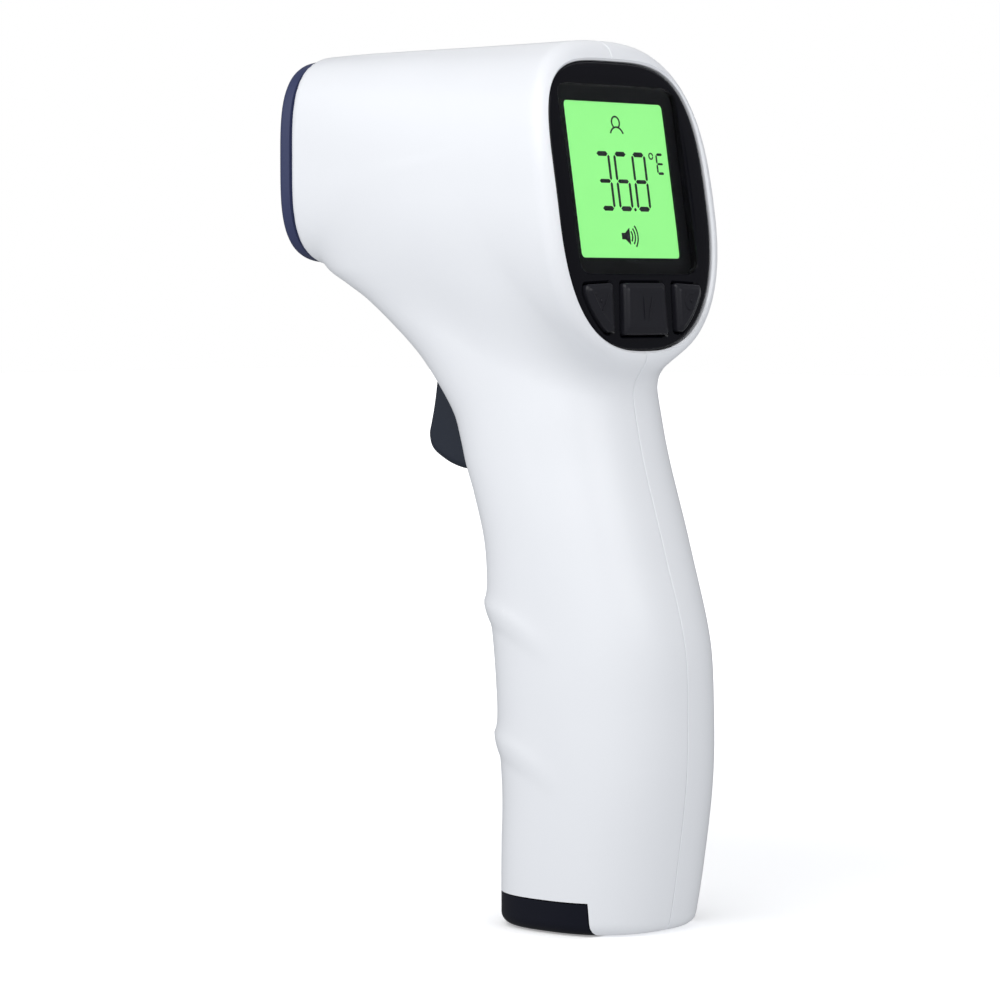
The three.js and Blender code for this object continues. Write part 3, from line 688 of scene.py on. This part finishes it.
def panel_outline(margin, count=160):
    points = []
    for angle in np.linspace(0, 2 * math.pi, count, endpoint=False):
        exponent = PANEL_TOP_EXPONENT if math.sin(angle) > 0 else PANEL_BOTTOM_EXPONENT
        c, s = math.cos(angle), math.sin(angle)
        right = (PANEL_HALF_WIDTH + margin) * math.copysign(abs(c) ** (2 / exponent), c)
        up = (PANEL_HALF_HEIGHT + margin) * math.copysign(abs(s) ** (2 / exponent), s)
        points.append((right, up))
    return np.array(points)


def rectangle_outline(half, low, high, corner, margin=0.0):
    corners = [(-half, low), (half, low), (half, high), (-half, high)]
    return round_corners(shift_outline(corners, margin), corner + max(margin, 0), steps=8)


def window_outline(margin):
    return rectangle_outline(WINDOW["half"], WINDOW["low"], WINDOW["high"], WINDOW["corner"], margin)


def centre_key_outline(margin):
    top, bottom, low = CENTRE_KEY["top"], CENTRE_KEY["bottom"], CENTRE_KEY["low"]
    corners = [(-bottom, low), (bottom, low), (top, KEY_TOP), (-top, KEY_TOP)]
    return round_corners(shift_outline(corners, margin), KEY_CORNER)


def side_key_outline(side, margin):
    """Straight inner and top edges, and an outer edge that follows the face's own outline."""
    inner, outer, low = SIDE_KEY["inner"], SIDE_KEY["outer"], SIDE_KEY["low"]
    corners = [(inner, KEY_TOP), (inner, low)]
    for up in np.linspace(low - 0.2, KEY_TOP - 1.6, 6):
        exponent = PANEL_BOTTOM_EXPONENT
        rim = PANEL_HALF_WIDTH * (1 - abs(up / PANEL_HALF_HEIGHT) ** exponent) ** (1 / exponent)
        corners.append((min(rim - SIDE_KEY["border"], outer), up))
    corners.append((outer - 1.2, KEY_TOP - 0.3))
    outline = round_corners(shift_outline(corners, margin), KEY_CORNER)
    return outline if side > 0 else (outline * (-1, 1))[::-1]


KEYS = {
    "left": lambda margin: side_key_outline(-1, margin),
    "center": centre_key_outline,
    "right": lambda margin: side_key_outline(1, margin),
}


def flared_hole(outline, floor, raised=0.0, clearance=0.12, flare=0.28):
    """A cutter through the display face whose mouth opens out in a small chamfer."""
    loops = [
        at_level(outline(clearance), floor),
        on_face(outline(clearance), raised - flare),
        on_face(outline(clearance + flare + 0.2), raised + 0.2),
        at_level(outline(clearance + flare + 0.2), 8.0),
    ]
    return lofted("hole", [to_body(loop) for loop in loops])


# -------- housing


def trigger_slot():
    outline = rectangle_outline(**SLOT)
    loops = [np.column_stack([outline[:, 0], np.full(len(outline), y), outline[:, 1]]) for y in SLOT_REACH]
    return lofted("slot", loops)


def screw_recess(y, z):
    profile = [(RECESS["radius"], -30), (RECESS["radius"], RECESS["floor"])]
    return lofted("recess", turned(profile, (0, y, z), "x", 48))


def housing_wall():
    """Both halves as one hollow wall, with every opening cut."""
    points, quads = surface_net(shell_gap, (-24.4, -61, -1.5), (24.4, 22, 151.5), 0.8)
    wall = new_object("wall", points, quads)
    nose_port = lofted("port", turned([(PORT_RADIUS, -70), (PORT_RADIUS, -55)], (0, 0, NOSE_Z)))
    face = flared_hole(panel_outline, BEZEL_BACK - 0.9, raised=RIM_RAISED, clearance=0.18, flare=0.35)
    cap_room = block((-30, -30, -5), (30, CAP["back"] + CAP["gap"], CAP["top"] + CAP["gap"]))
    recesses = [screw_recess(y, z) for _, y, z in SCREWS]
    cut(wall, face, nose_port, trigger_slot(), cap_room, *recesses)
    return wall


SEAM = 0.02  # half of the seam's width
SEAM_LIP = 0.19


def split_half(wall, side):
    """One half, with the edge along the seam softened on the outside."""
    half = bpy.data.objects.new("half", wall.data.copy())
    bpy.context.scene.collection.objects.link(half)
    x0, x1 = (SEAM, 40) if side > 0 else (-40, -SEAM)
    combine(half, block((x0, -80, -10), (x1, 40, 170)), "INTERSECT")
    body = bmesh.new()
    body.from_mesh(half.data)
    geometry = body.verts[:] + body.edges[:] + body.faces[:]
    place, normal = Vector((side * (SEAM + SEAM_LIP) * MM, 0, 0)), Vector((1, 0, 0))
    bmesh.ops.bisect_plane(body, geom=geometry, plane_co=place, plane_no=normal, dist=1e-7)
    rim = [v for v in body.verts if abs(abs(v.co.x) / MM - SEAM) < 0.01]
    spots = np.array([v.co for v in rim]) / MM
    outside = outer_gap(*spots.T) > -0.05
    for vertex, (x, y, z), on_outside in zip(rim, spots, outside):
        if on_outside:
            reach = 0.05
            slope_y = outer_gap(x, y + reach, z) - outer_gap(x, y - reach, z)
            slope_z = outer_gap(x, y, z + reach) - outer_gap(x, y, z - reach)
            slope = Vector((0, float(slope_y), float(slope_z)))
            if slope.length > 1e-6:
                vertex.co -= slope.normalized() * 0.13 * MM
    body.to_mesh(half.data)
    body.free()
    return half


def housing():
    wall = housing_wall()
    for side, name in ((1, "left_shell"), (-1, "right_shell")):
        half = split_half(wall, side)
        half.name = f"housing_{name}"
        finish_piece(half, "housing", "housing", [name])
    bpy.data.objects.remove(wall)


def housing_screws():
    """Pan-head screws at the bottom of their recesses, each with a cross slot."""
    profile = [
        (0.01, -8.0), (1.4, -7.95), (2.1, -7.6), (2.45, -6.9), (2.45, -5.75), (1.2, -5.7), (1.2, 8.2),
        (0.3, 9.5), (0.01, 9.55),
    ]
    for name, y, z in SCREWS:
        screw = lofted(f"{name}_detail", turned(profile, (0, y, z), "x", 48))
        for wide, tall in ((1.5, 0.3), (0.3, 1.5)):
            cut(screw, block((-9, y - wide, z - tall), (-7.1, y + wide, z + tall)))
        finish_piece(screw, "steel", "housing", [name])


# -------- nose


def nose_section(inset, y, count=160):
    """The head's front section, drawn in by inset."""
    place = HEAD_FRONT + FRONT_EDGE
    top, bottom = along(HEAD_TOP, place), along(HEAD_BOTTOM, place)
    half = along(HEAD_HALF_WIDTH, place)
    angle = np.linspace(0, 2 * math.pi, count, endpoint=False)
    c, s = np.cos(angle), np.sin(angle)
    exponent = np.where(s > 0, along(HEAD_UPPER_EXPONENT, place), along(HEAD_LOWER_EXPONENT, place))
    x = (half - NOSE_INSET - inset) * np.sign(c) * np.abs(c) ** (2 / exponent)
    z = ((top - bottom) / 2 - NOSE_INSET - inset) * np.sign(s) * np.abs(s) ** (2 / exponent)
    return np.column_stack([x, np.full(count, float(y)), (top + bottom) / 2 + z])


def nose_circle(radius, y, count=160):
    ring = circle(radius, count)
    return np.column_stack([ring[:, 0], np.full(count, float(y)), ring[:, 1] + NOSE_Z])


def nose_ring():
    back = HEAD_FRONT - GAP
    loops = [
        nose_section(NOSE_GROOVE["deep"], back),
        nose_section(NOSE_GROOVE["deep"], back - NOSE_GROOVE["wide"]),
        nose_section(0, back - NOSE_GROOVE["wide"] - 0.1),
        nose_section(0, NOSE_FRONT + NOSE_FLAT),
    ]
    for inset, rise in quarter_round(NOSE_EDGE, 7):
        loops.append(nose_section(inset, NOSE_FRONT + NOSE_FLAT - rise))
    loops += [nose_section(2.6, NOSE_FRONT + 0.02), nose_section(3.1, NOSE_FRONT + 0.35)]
    loops += [nose_circle(radius, NOSE_FRONT + behind) for radius, behind in NOSE_DISH]
    spigot_end = HEAD_FRONT + SPIGOT["length"]
    loops += [
        nose_circle(NOSE_DISH[-1][0], HEAD_FRONT - 0.9), nose_circle(SPIGOT["bore"], HEAD_FRONT - 0.8),
        nose_circle(SPIGOT["bore"], spigot_end), nose_circle(SPIGOT["outside"], spigot_end),
        nose_circle(SPIGOT["outside"], back + 0.05),
    ]
    ring = lofted("nose_ring_detail", loops, ring=True)
    finish_piece(ring, "nose_trim", "housing", ["nose_ring"])


def sensor_parts():
    """The stepped cone in front of the sensor, and the domed filter at its end."""
    centre = (0, 0, NOSE_Z)
    front = NOSE_FRONT + 0.4
    mouth, foot, throat, end = CONE["mouth"], CONE["foot"], CONE["throat"], CONE["end"]
    profile = [
        (mouth - 0.6, front + 0.15), (mouth - 0.3, front), (mouth, front + 0.2), (mouth, HEAD_FRONT - 0.6),
        (foot, HEAD_FRONT - 0.5), (foot, HEAD_FRONT + SPIGOT["length"]),
        (throat + 1.3, end + 1), (throat, end + 1), (throat, end),
    ]
    last = CONE_STEPS["count"] - 1
    for i in range(last + 1):
        radius = CONE_STEPS["narrow"] + (CONE_STEPS["wide"] - CONE_STEPS["narrow"]) * i / last
        place = CONE_STEPS["from"] + (front + 1.1 - CONE_STEPS["from"]) * i / last
        profile += [(radius, place), (radius + 0.28, place - 0.05)]
    cone = lofted("sensor_cone_detail", turned(profile, centre), ring=True)
    finish_piece(cone, "black_gloss", "housing", ["sensor_cone"])
    radius, back, edge = FILTER["radius"], FILTER["back"], FILTER["front"]
    dome = [(0.01, back), (radius - 0.05, back), (radius, edge)]
    for turn in np.linspace(0.1, 1.56, 8):
        dome.append((radius * math.cos(turn), edge - FILTER["dome"] * math.sin(turn)))
    lens = lofted("sensor_filter_dome", turned(dome, centre, "y", 64))
    finish_piece(lens, "filter", "housing", ["sensor_window"])


# -------- display face


def crowned_face(outline, back, offset, edge, rings=9):
    """Loops of a plate that rises from back to the bulging face, with a rounded edge."""
    loops = [at_level(outline(0), back), on_face(outline(0), offset - edge)]
    for inset, rise in quarter_round(edge, 5):
        loops.append(on_face(outline(-inset), offset - edge + rise))
    inner = outline(-edge)
    middle = np.array([0, (inner[:, 1].max() + inner[:, 1].min()) / 2])
    for scale in np.linspace(1, 0.01, rings)[1:]:
        loops.append(on_face(middle + (inner - middle) * scale, offset))
    return [to_body(loop) for loop in loops]


def bezel():
    plate = lofted("display_bezel_detail", crowned_face(panel_outline, BEZEL_BACK, 0, 0.5))
    recess = flared_hole(window_outline, WINDOW["back"] - 0.35, clearance=0.08, flare=0.12)
    opening = rectangle_outline(**LCD_OPENING)
    through = lofted("through", [to_body(at_level(opening, level)) for level in (-6, 4)])
    cut(plate, recess, through)
    for outline in KEYS.values():
        cut(plate, flared_hole(outline, -6, clearance=0.22, flare=0.3))
    finish_piece(plate, "black_gloss", "housing", ["display_bezel"])


def display():
    window = lofted("display_window_detail", crowned_face(window_outline, WINDOW["back"], -0.05, 0.14))
    finish_piece(window, "window", "housing", ["display_window"])
    view = rectangle_outline(**LCD_VIEW)
    rim = window_outline(-0.05)
    loops = [
        at_level(rim, MASK_FROM), at_level(rim, MASK_TO), at_level(view, MASK_TO), at_level(view, MASK_FROM),
    ]
    mask = lofted("window_mask", [to_body(loop) for loop in loops], ring=True)
    finish_piece(mask, "mask", "housing")


DIGIT = {"width": 3.6, "height": 10.1, "pitch": 4.65, "bar": 0.82, "post": 0.52, "gap": 0.15}
SEGMENTS = {"3": "abcdg", "6": "acdefg", "8": "abcdefg", "E": "adefg"}
INK_FROM = LCD_FRONT + 0.015
INK_TO = LCD_FRONT + 0.07
LCD_MIDDLE_UP = 4.35
DIGITS_LEFT = -6.1
DIGITS_LOW = LCD_MIDDLE_UP - 5.15
DEGREE = {"right": 8.35, "above": 9.55, "radius": 0.5, "half": 0.12}
UNIT = {"right": 9.6, "above": 6.4, "width": 2.0, "height": 3.7, "bar": 0.22, "post": 0.18, "gap": 0.08}


def bar(start, end, half, tip):
    """A straight segment with mitred ends."""
    start, end = np.array(start, float), np.array(end, float)
    way = (end - start) / np.linalg.norm(end - start)
    across = np.array([-way[1], way[0]])
    return [
        start, start + way * tip - across * half, end - way * tip - across * half, end,
        end - way * tip + across * half, start + way * tip + across * half,
    ]


def segment_outlines(letter, right, up, width, height, bar_half, post_half, gap):
    """Outlines of a seven-segment figure whose lower left corner is at (right, up)."""
    left, far = right + post_half, right + width - post_half
    low, middle, high = up + bar_half, up + height / 2, up + height - bar_half
    lines = {
        "a": ((left, high), (far, high), bar_half), "g": ((left, middle), (far, middle), bar_half * 0.8),
        "d": ((left, low), (far, low), bar_half),
        "b": ((far, middle), (far, high), post_half), "c": ((far, low), (far, middle), post_half),
        "f": ((left, middle), (left, high), post_half), "e": ((left, low), (left, middle), post_half),
    }
    outlines = []
    for key in SEGMENTS[letter]:
        start, end, half = lines[key]
        way = np.array(end) - np.array(start)
        way = way / np.linalg.norm(way) * gap
        outlines.append(bar(np.array(start) + way, np.array(end) - way, half, half * 1.1))
    return outlines


def arc_strip(middle, radius, half, start, end, count=14):
    """A curved stroke between two angles in degrees."""
    turns = np.radians(np.linspace(start, end, count))
    outer, inner = (
        [(middle[0] + reach * math.cos(turn), middle[1] + reach * math.sin(turn)) for turn in turns]
        for reach in (radius + half, radius - half)
    )
    return outer + inner[::-1]


def dot_outline(right, up, radius=0.34, count=20):
    return [(right + dx, up + dy) for dx, dy in circle(radius, count)]


def speaker_outlines(right, up):
    half = [(right, 0.55), (right + 0.9, 0.55), (right + 2.1, 1.45)]
    body = [(x, up - y) for x, y in half] + [(x, up + y) for x, y in half[::-1]]
    waves = [arc_strip((right + 1.5, up), radius, 0.14, -42, 42) for radius in (1.25, 1.95, 2.65)]
    return [body] + waves


def person_outlines(right, up):
    """A plain pictogram of a head over shoulders."""
    head = arc_strip((right, up + 0.35), 1.0, 0.15, -50, 230, 26)
    shoulders = arc_strip((right, up - 2.2), 1.75, 0.15, 22, 158, 18)
    return [head, shoulders]


def lcd_marks():
    bar_half, post_half, gap = DIGIT["bar"] / 2, DIGIT["post"] / 2, DIGIT["gap"]
    outlines = []
    for place, letter in enumerate("368"):
        right = DIGITS_LEFT + place * DIGIT["pitch"]
        size = (DIGIT["width"], DIGIT["height"], bar_half, post_half, gap)
        outlines += segment_outlines(letter, right, DIGITS_LOW, *size)
    outlines.append(dot_outline(DIGITS_LEFT + 2 * DIGIT["pitch"] - 0.6, DIGITS_LOW + 0.3, 0.28, 16))
    degree = (DEGREE["right"], DIGITS_LOW + DEGREE["above"])
    outlines.append(arc_strip(degree, DEGREE["radius"], DEGREE["half"], 0, 350, 24))
    size = (UNIT["width"], UNIT["height"], UNIT["bar"], UNIT["post"], UNIT["gap"])
    outlines += segment_outlines("E", UNIT["right"], DIGITS_LOW + UNIT["above"], *size)
    outlines += speaker_outlines(-1.7, LCD_MIDDLE_UP - 9.4)
    outlines += person_outlines(0.2, LCD_MIDDLE_UP + 9.6)
    marks = []
    for outline in outlines:
        outline = np.array(outline)
        marks.append(lofted("display_marks", [to_body(at_level(outline, k)) for k in (INK_FROM, INK_TO)]))
    finish_piece(join_pieces(marks), "ink", "housing")


def key_loops(outline):
    loops = [at_level(outline(0), KEY_BACK), on_face(outline(0), KEY_PROUD - 0.75)]
    for inset, rise in quarter_round(0.55, 5, 0.45):
        loops.append(on_face(outline(-inset), KEY_PROUD - 0.75 + rise))
    loops.append(on_face(outline(-0.85), KEY_PROUD - 0.08))
    inner = outline(-1.05)
    middle = inner.mean(0)
    for scale in np.linspace(1, 0.02, 6):
        dish = KEY_DISH * (1 - scale**2)
        loops.append(on_face(middle + (inner - middle) * scale, KEY_PROUD - dish))
    return [to_body(loop) for loop in loops]


def mark_on_key(outline):
    """A raised mark, level with the key's own rim."""
    outline = np.array(outline)
    smaller = outline.mean(0) + (outline - outline.mean(0)) * 0.86
    loops = [
        on_face(outline, KEY_PROUD - 0.35), on_face(outline, KEY_PROUD - 0.06), on_face(smaller, KEY_PROUD),
    ]
    return lofted("mark", [to_body(loop) for loop in loops])


KEY_MARKS = {
    "left": [
        dot_outline(-12.9, -15.2), dot_outline(-11.6, -16.4), bar((-11.7, -18.6), (-9.6, -15.0), 0.16, 0.16),
    ],
    "center": [bar((-0.7, -19.6), (-0.7, -15.6), 0.17, 0.17), bar((0.3, -19.8), (1.6, -15.4), 0.17, 0.17)],
    "right": [arc_strip((11.6, -16.4), 1.5, 0.16, 60, 300), dot_outline(11.9, -16.4)],
}


def keys():
    for name, outline in KEYS.items():
        cap = lofted("cap", key_loops(outline))
        flange = lofted("flange", [to_body(at_level(outline(0.6), k)) for k in (KEY_BACK, -2.85)])
        key = join_pieces([cap, flange])
        key.name = f"button_{name}_detail"
        finish_piece(key, "keys", f"button_{name}", [f"button_{name}"])
        marks = join_pieces([mark_on_key(outline) for outline in KEY_MARKS[name]])
        marks.name = f"button_{name}_marks"
        finish_piece(marks, "keys", f"button_{name}")


# -------- trigger

# Side view of the trigger, (y, z), clockwise from its pointed top.
TRIGGER_SIDE = [
    (-31.4, 94.4), (-32.7, 93.4), (-33.2, 91.8), (-33.5, 89.8), (-34, 87.1), (-34.6, 84.6), (-35, 82.9),
    (-34.7, 81.1), (-33.8, 79.8), (-31.9, 78.6), (-29.4, 77.5), (-26.3, 76.8), (-22.9, 76.8), (-22.6, 84),
    (-23.1, 91), (-24.2, 95.2), (-27.6, 95.7), (-29.2, 94.8),
]
TRIGGER_CROWN = 0.5
TRIGGER_EDGE = 1.0


def closed_curve(points, steps=6):
    """A smooth closed curve through points."""
    points = np.array(points, float)
    curve = []
    for i in range(len(points)):
        p0, p1, p2, p3 = (points[(i + k) % len(points)] for k in (-1, 0, 1, 2))
        for t in np.linspace(0, 1, steps, endpoint=False):
            curve.append(0.5 * (2 * p1 + (p2 - p0) * t + (2 * p0 - 5 * p1 + 4 * p2 - p3) * t**2
                                + (3 * p1 - p0 - 3 * p2 + p3) * t**3))
    return np.array(curve)


TRIGGER_CURVE = closed_curve(TRIGGER_SIDE)


def polygon_gap(u, v, polygon):
    """Signed distance from points to a closed polygon, negative inside."""
    best = np.full(np.broadcast(u, v).shape, 1e9)
    inside = np.zeros(best.shape, bool)
    for (u0, v0), (u1, v1) in zip(polygon, np.roll(polygon, -1, 0)):
        du, dv = u1 - u0, v1 - v0
        t = np.clip(((u - u0) * du + (v - v0) * dv) / (du * du + dv * dv), 0, 1)
        best = np.minimum(best, (u - u0 - t * du) ** 2 + (v - v0 - t * dv) ** 2)
        spans = (v0 > v) != (v1 > v)
        crosses = u < u0 + (v - v0) * du / (dv if abs(dv) > 1e-9 else 1e-9)
        inside ^= spans & crosses
    return np.where(inside, -1, 1) * np.sqrt(best)


def trigger_gap(x, y, z):
    crown = TRIGGER_CROWN * (x / TRIGGER_HALF_WIDTH) ** 2
    side = polygon_gap(y - crown, z + 0 * x, TRIGGER_CURVE)
    return round_meet(side, np.abs(x) - TRIGGER_HALF_WIDTH, TRIGGER_EDGE)


def trigger():
    half = TRIGGER_HALF_WIDTH
    points, quads = surface_net(trigger_gap, (-half - 1, -36.5, 75.5), (half + 1, -21, 97.5), 0.32)
    blade = new_object("trigger_detail", points, quads)
    pin = node_middle("trigger_pin")
    bore = lofted("bore", turned([(PIN_HOLE, -20), (PIN_HOLE, 20)], (0, pin.y, pin.z), "x", 32))
    cut(blade, bore)
    finish_piece(blade, "charcoal", "trigger", ["trigger"])


def trigger_spring():
    """A coil between the trigger and its board."""
    low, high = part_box("trigger_spring")
    low, high = low / MM, high / MM
    middle = (low.z + high.z) / 2
    coils, radius, wire = 5, 1.7, 0.3
    turns = np.linspace(0, 2 * math.pi * coils, 26 * coils)
    loops = []
    for turn in turns:
        y = low.y + wire + (high.y - low.y - 2 * wire) * turn / turns[-1]
        outwards = np.array([math.cos(turn), 0, math.sin(turn)])
        centre = np.array([0, y, middle]) + radius * outwards
        loops.append([centre + wire * (c * outwards + s * np.array([0, 1, 0])) for c, s in circle(1, 12)])
    spring = lofted("trigger_spring_detail", loops)
    spring.data.materials.append(LOOKS["spring_steel"])
    spring.data.polygons.foreach_set("use_smooth", [True] * len(spring.data.polygons))
    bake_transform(spring)
    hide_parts("trigger_spring")


# -------- battery cap


CAP_NET_TOP = 8.4


def cap_gap(x, y, z):
    return np.maximum(outer_gap(x, y, z), z - CAP_NET_TOP)


def cap_cavity_gap(x, y, z):
    return np.maximum(np.maximum(outer_gap(x, y, z) + WALL, CAP["floor"] - z), z - CAP_NET_TOP)


def battery_cap():
    points, quads = surface_net(cap_gap, (-18, -19, -0.8), (18, 19.5, 9.4), 0.42)
    cap = new_object("battery_cap_detail", points, quads)
    room = block((-30, -30, -5), (30, CAP["back"] - CAP["gap"], CAP["top"] - CAP["gap"]))
    combine(cap, room, "INTERSECT")
    cavity = new_object("cavity", *surface_net(cap_cavity_gap, (-16, -17, 0.8), (16, 17.5, 9.4), 0.5))
    cut(cap, cavity)
    for i in (-1, 0, 1):
        half, along_y = CAP_GROOVE["half"] - abs(i) * CAP_GROOVE["shorter"], i * CAP_GROOVE["pitch"]
        low = (-half, CAP_GROOVE["from"] + along_y, -1)
        high = (half, CAP_GROOVE["to"] + along_y, CAP_GROOVE["deep"])
        cut(cap, block(low, high))
    half, end = CAP_TONGUE["half"], CAP_TONGUE["end"]
    tongue = block((-half, CAP["back"] - 2.5, CAP_TONGUE["low"]), (half, end, CAP_TONGUE["high"]))
    tongue_room = block((-6, CAP["back"] - 1, 0), (6, 12, 2.4))
    cut(tongue, tongue_room)
    combine(cap, tongue, "UNION")
    finish_piece(cap, "cap_black", "battery_cap", ["battery_cap"])


# -------- everything that keeps its CAD shape


def paint_nodes():
    slots = {row["node"]: row["material_slot"] for row in frame["record"]["subparts"]}
    for name, node in frame["nodes"].items():
        if node.hide_render:
            continue
        node.data.materials.clear()
        node.data.materials.append(LOOKS[slots[name]])


# -------- floor, light and camera


def pale_floor():
    """White paper: lit by the lamps near the object, and bright of itself further out."""
    bpy.ops.mesh.primitive_plane_add(size=8, location=(0, 0, -0.0002))
    floor = bpy.context.object
    floor.name = "floor"
    made, tree, shader = material("paper_white", (0.86, 0.86, 0.87), 0.8)
    gloss = spread(tree, noise(tree, 0.05).outputs["Fac"], 0.75, 0.85)
    tree.links.new(gloss, shader.inputs["Roughness"])
    reach = add_node(tree, "VectorMath")
    reach.operation = "LENGTH"
    tree.links.new(object_place(tree), reach.inputs[0])
    glow = map_range(tree, reach.outputs["Value"], 0.06, 0.5, 0.3, 1.0)
    glow.interpolation_type = "SMOOTHSTEP"
    shader.inputs["Emission Color"].default_value = (1, 1, 1, 1)
    tree.links.new(glow.outputs["Result"], shader.inputs["Emission Strength"])
    shader.inputs["Specular IOR Level"].default_value = 0.1
    floor.data.materials.append(made)
    floor.visible_diffuse = False
    floor.visible_glossy = False


def from_angle(azimuth, elevation, distance):
    """A place round the object: azimuth 0 is in front of the lens."""
    a, e = math.radians(azimuth), math.radians(elevation)
    return Vector((math.sin(a) * math.cos(e), -math.cos(a) * math.cos(e), math.sin(e))) * distance


SKY_ABOVE = 0.5
SKY_BELOW = 0.92
SKY_REFLECTED = 0.16
# Name, azimuth and elevation in degrees, distance in m, size in m, power in W and colour.
LAMPS = [
    ("key", 105, 42, 0.5, (0.45, 0.4), 1.4, (1, 0.997, 0.99)),
    ("front_fill", 50, 20, 0.7, (0.5, 0.5), 0.85, (0.97, 0.985, 1)),
    ("back_fill", 172, 30, 0.7, (0.5, 0.4), 1.0, (1, 1, 1)),
    ("far_fill", -60, 35, 0.9, (0.6, 0.6), 0.6, (1, 1, 1)),
]


def soft_light(name, place, size, power, colour):
    target = Vector((0, -0.02, 0.115))
    lamp = bpy.data.lights.new(name, "AREA")
    lamp.shape = "RECTANGLE"
    lamp.size, lamp.size_y = size
    lamp.energy = power
    lamp.color = colour
    made = bpy.data.objects.new(name, lamp)
    made.location = target + place
    made.rotation_euler = (-place).to_track_quat("-Z", "Y").to_euler()
    bpy.context.scene.collection.objects.link(made)


def studio():
    """A white backdrop for the camera, light from all around that is stronger from below, and lamps."""
    world = bpy.data.worlds.new("studio")
    world.use_nodes = True
    tree = world.node_tree
    around = tree.nodes["Background"]
    around.inputs["Color"].default_value = (0.955, 0.975, 1, 1)
    direction = add_node(tree, "TexCoord")
    parts = add_node(tree, "SeparateXYZ")
    tree.links.new(direction.outputs["Generated"], parts.inputs["Vector"])
    strength = map_range(tree, parts.outputs["Z"], -0.6, 0.8, SKY_BELOW, SKY_ABOVE)
    seen = add_node(tree, "LightPath")
    dimmed = tree.nodes.new("ShaderNodeMix")
    dimmed.inputs["B"].default_value = SKY_REFLECTED
    tree.links.new(seen.outputs["Is Glossy Ray"], dimmed.inputs["Factor"])
    tree.links.new(strength.outputs["Result"], dimmed.inputs["A"])
    tree.links.new(dimmed.outputs["Result"], around.inputs["Strength"])
    backdrop = add_node(tree, "Background", [("Color", (1, 1, 1, 1))])
    either = add_node(tree, "MixShader")
    tree.links.new(seen.outputs["Is Camera Ray"], either.inputs["Fac"])
    tree.links.new(around.outputs["Background"], either.inputs[1])
    tree.links.new(backdrop.outputs["Background"], either.inputs[2])
    tree.links.new(either.outputs["Shader"], tree.nodes["World Output"].inputs["Surface"])
    bpy.context.scene.world = world
    for name, azimuth, elevation, distance, size, power, colour in LAMPS:
        soft_light(name, from_angle(azimuth, elevation, distance), size, power, colour)
    bpy.context.scene.view_settings.view_transform = "Standard"


AIM = Vector((0, -22.7, 71.3)) * MM
CAMERA = {"azimuth": 132, "elevation": 2.83, "distance": 0.700, "lens": 145.4}


def camera():
    back = from_angle(CAMERA["azimuth"], CAMERA["elevation"], 1)
    lens = bpy.data.cameras.new("camera")
    lens.lens = CAMERA["lens"]
    lens.sensor_width = 36
    lens.clip_start = 0.01
    made = bpy.data.objects.new("camera", lens)
    made.location = AIM + back * CAMERA["distance"]
    made.rotation_euler = (-back).to_track_quat("-Z", "Y").to_euler()
    bpy.context.scene.collection.objects.link(made)
    bpy.context.scene.camera = made


camera()
studio()
pale_floor()
housing()
housing_screws()
nose_ring()
sensor_parts()
bezel()
display()
lcd_marks()
keys()
trigger()
trigger_spring()
battery_cap()
paint_nodes()
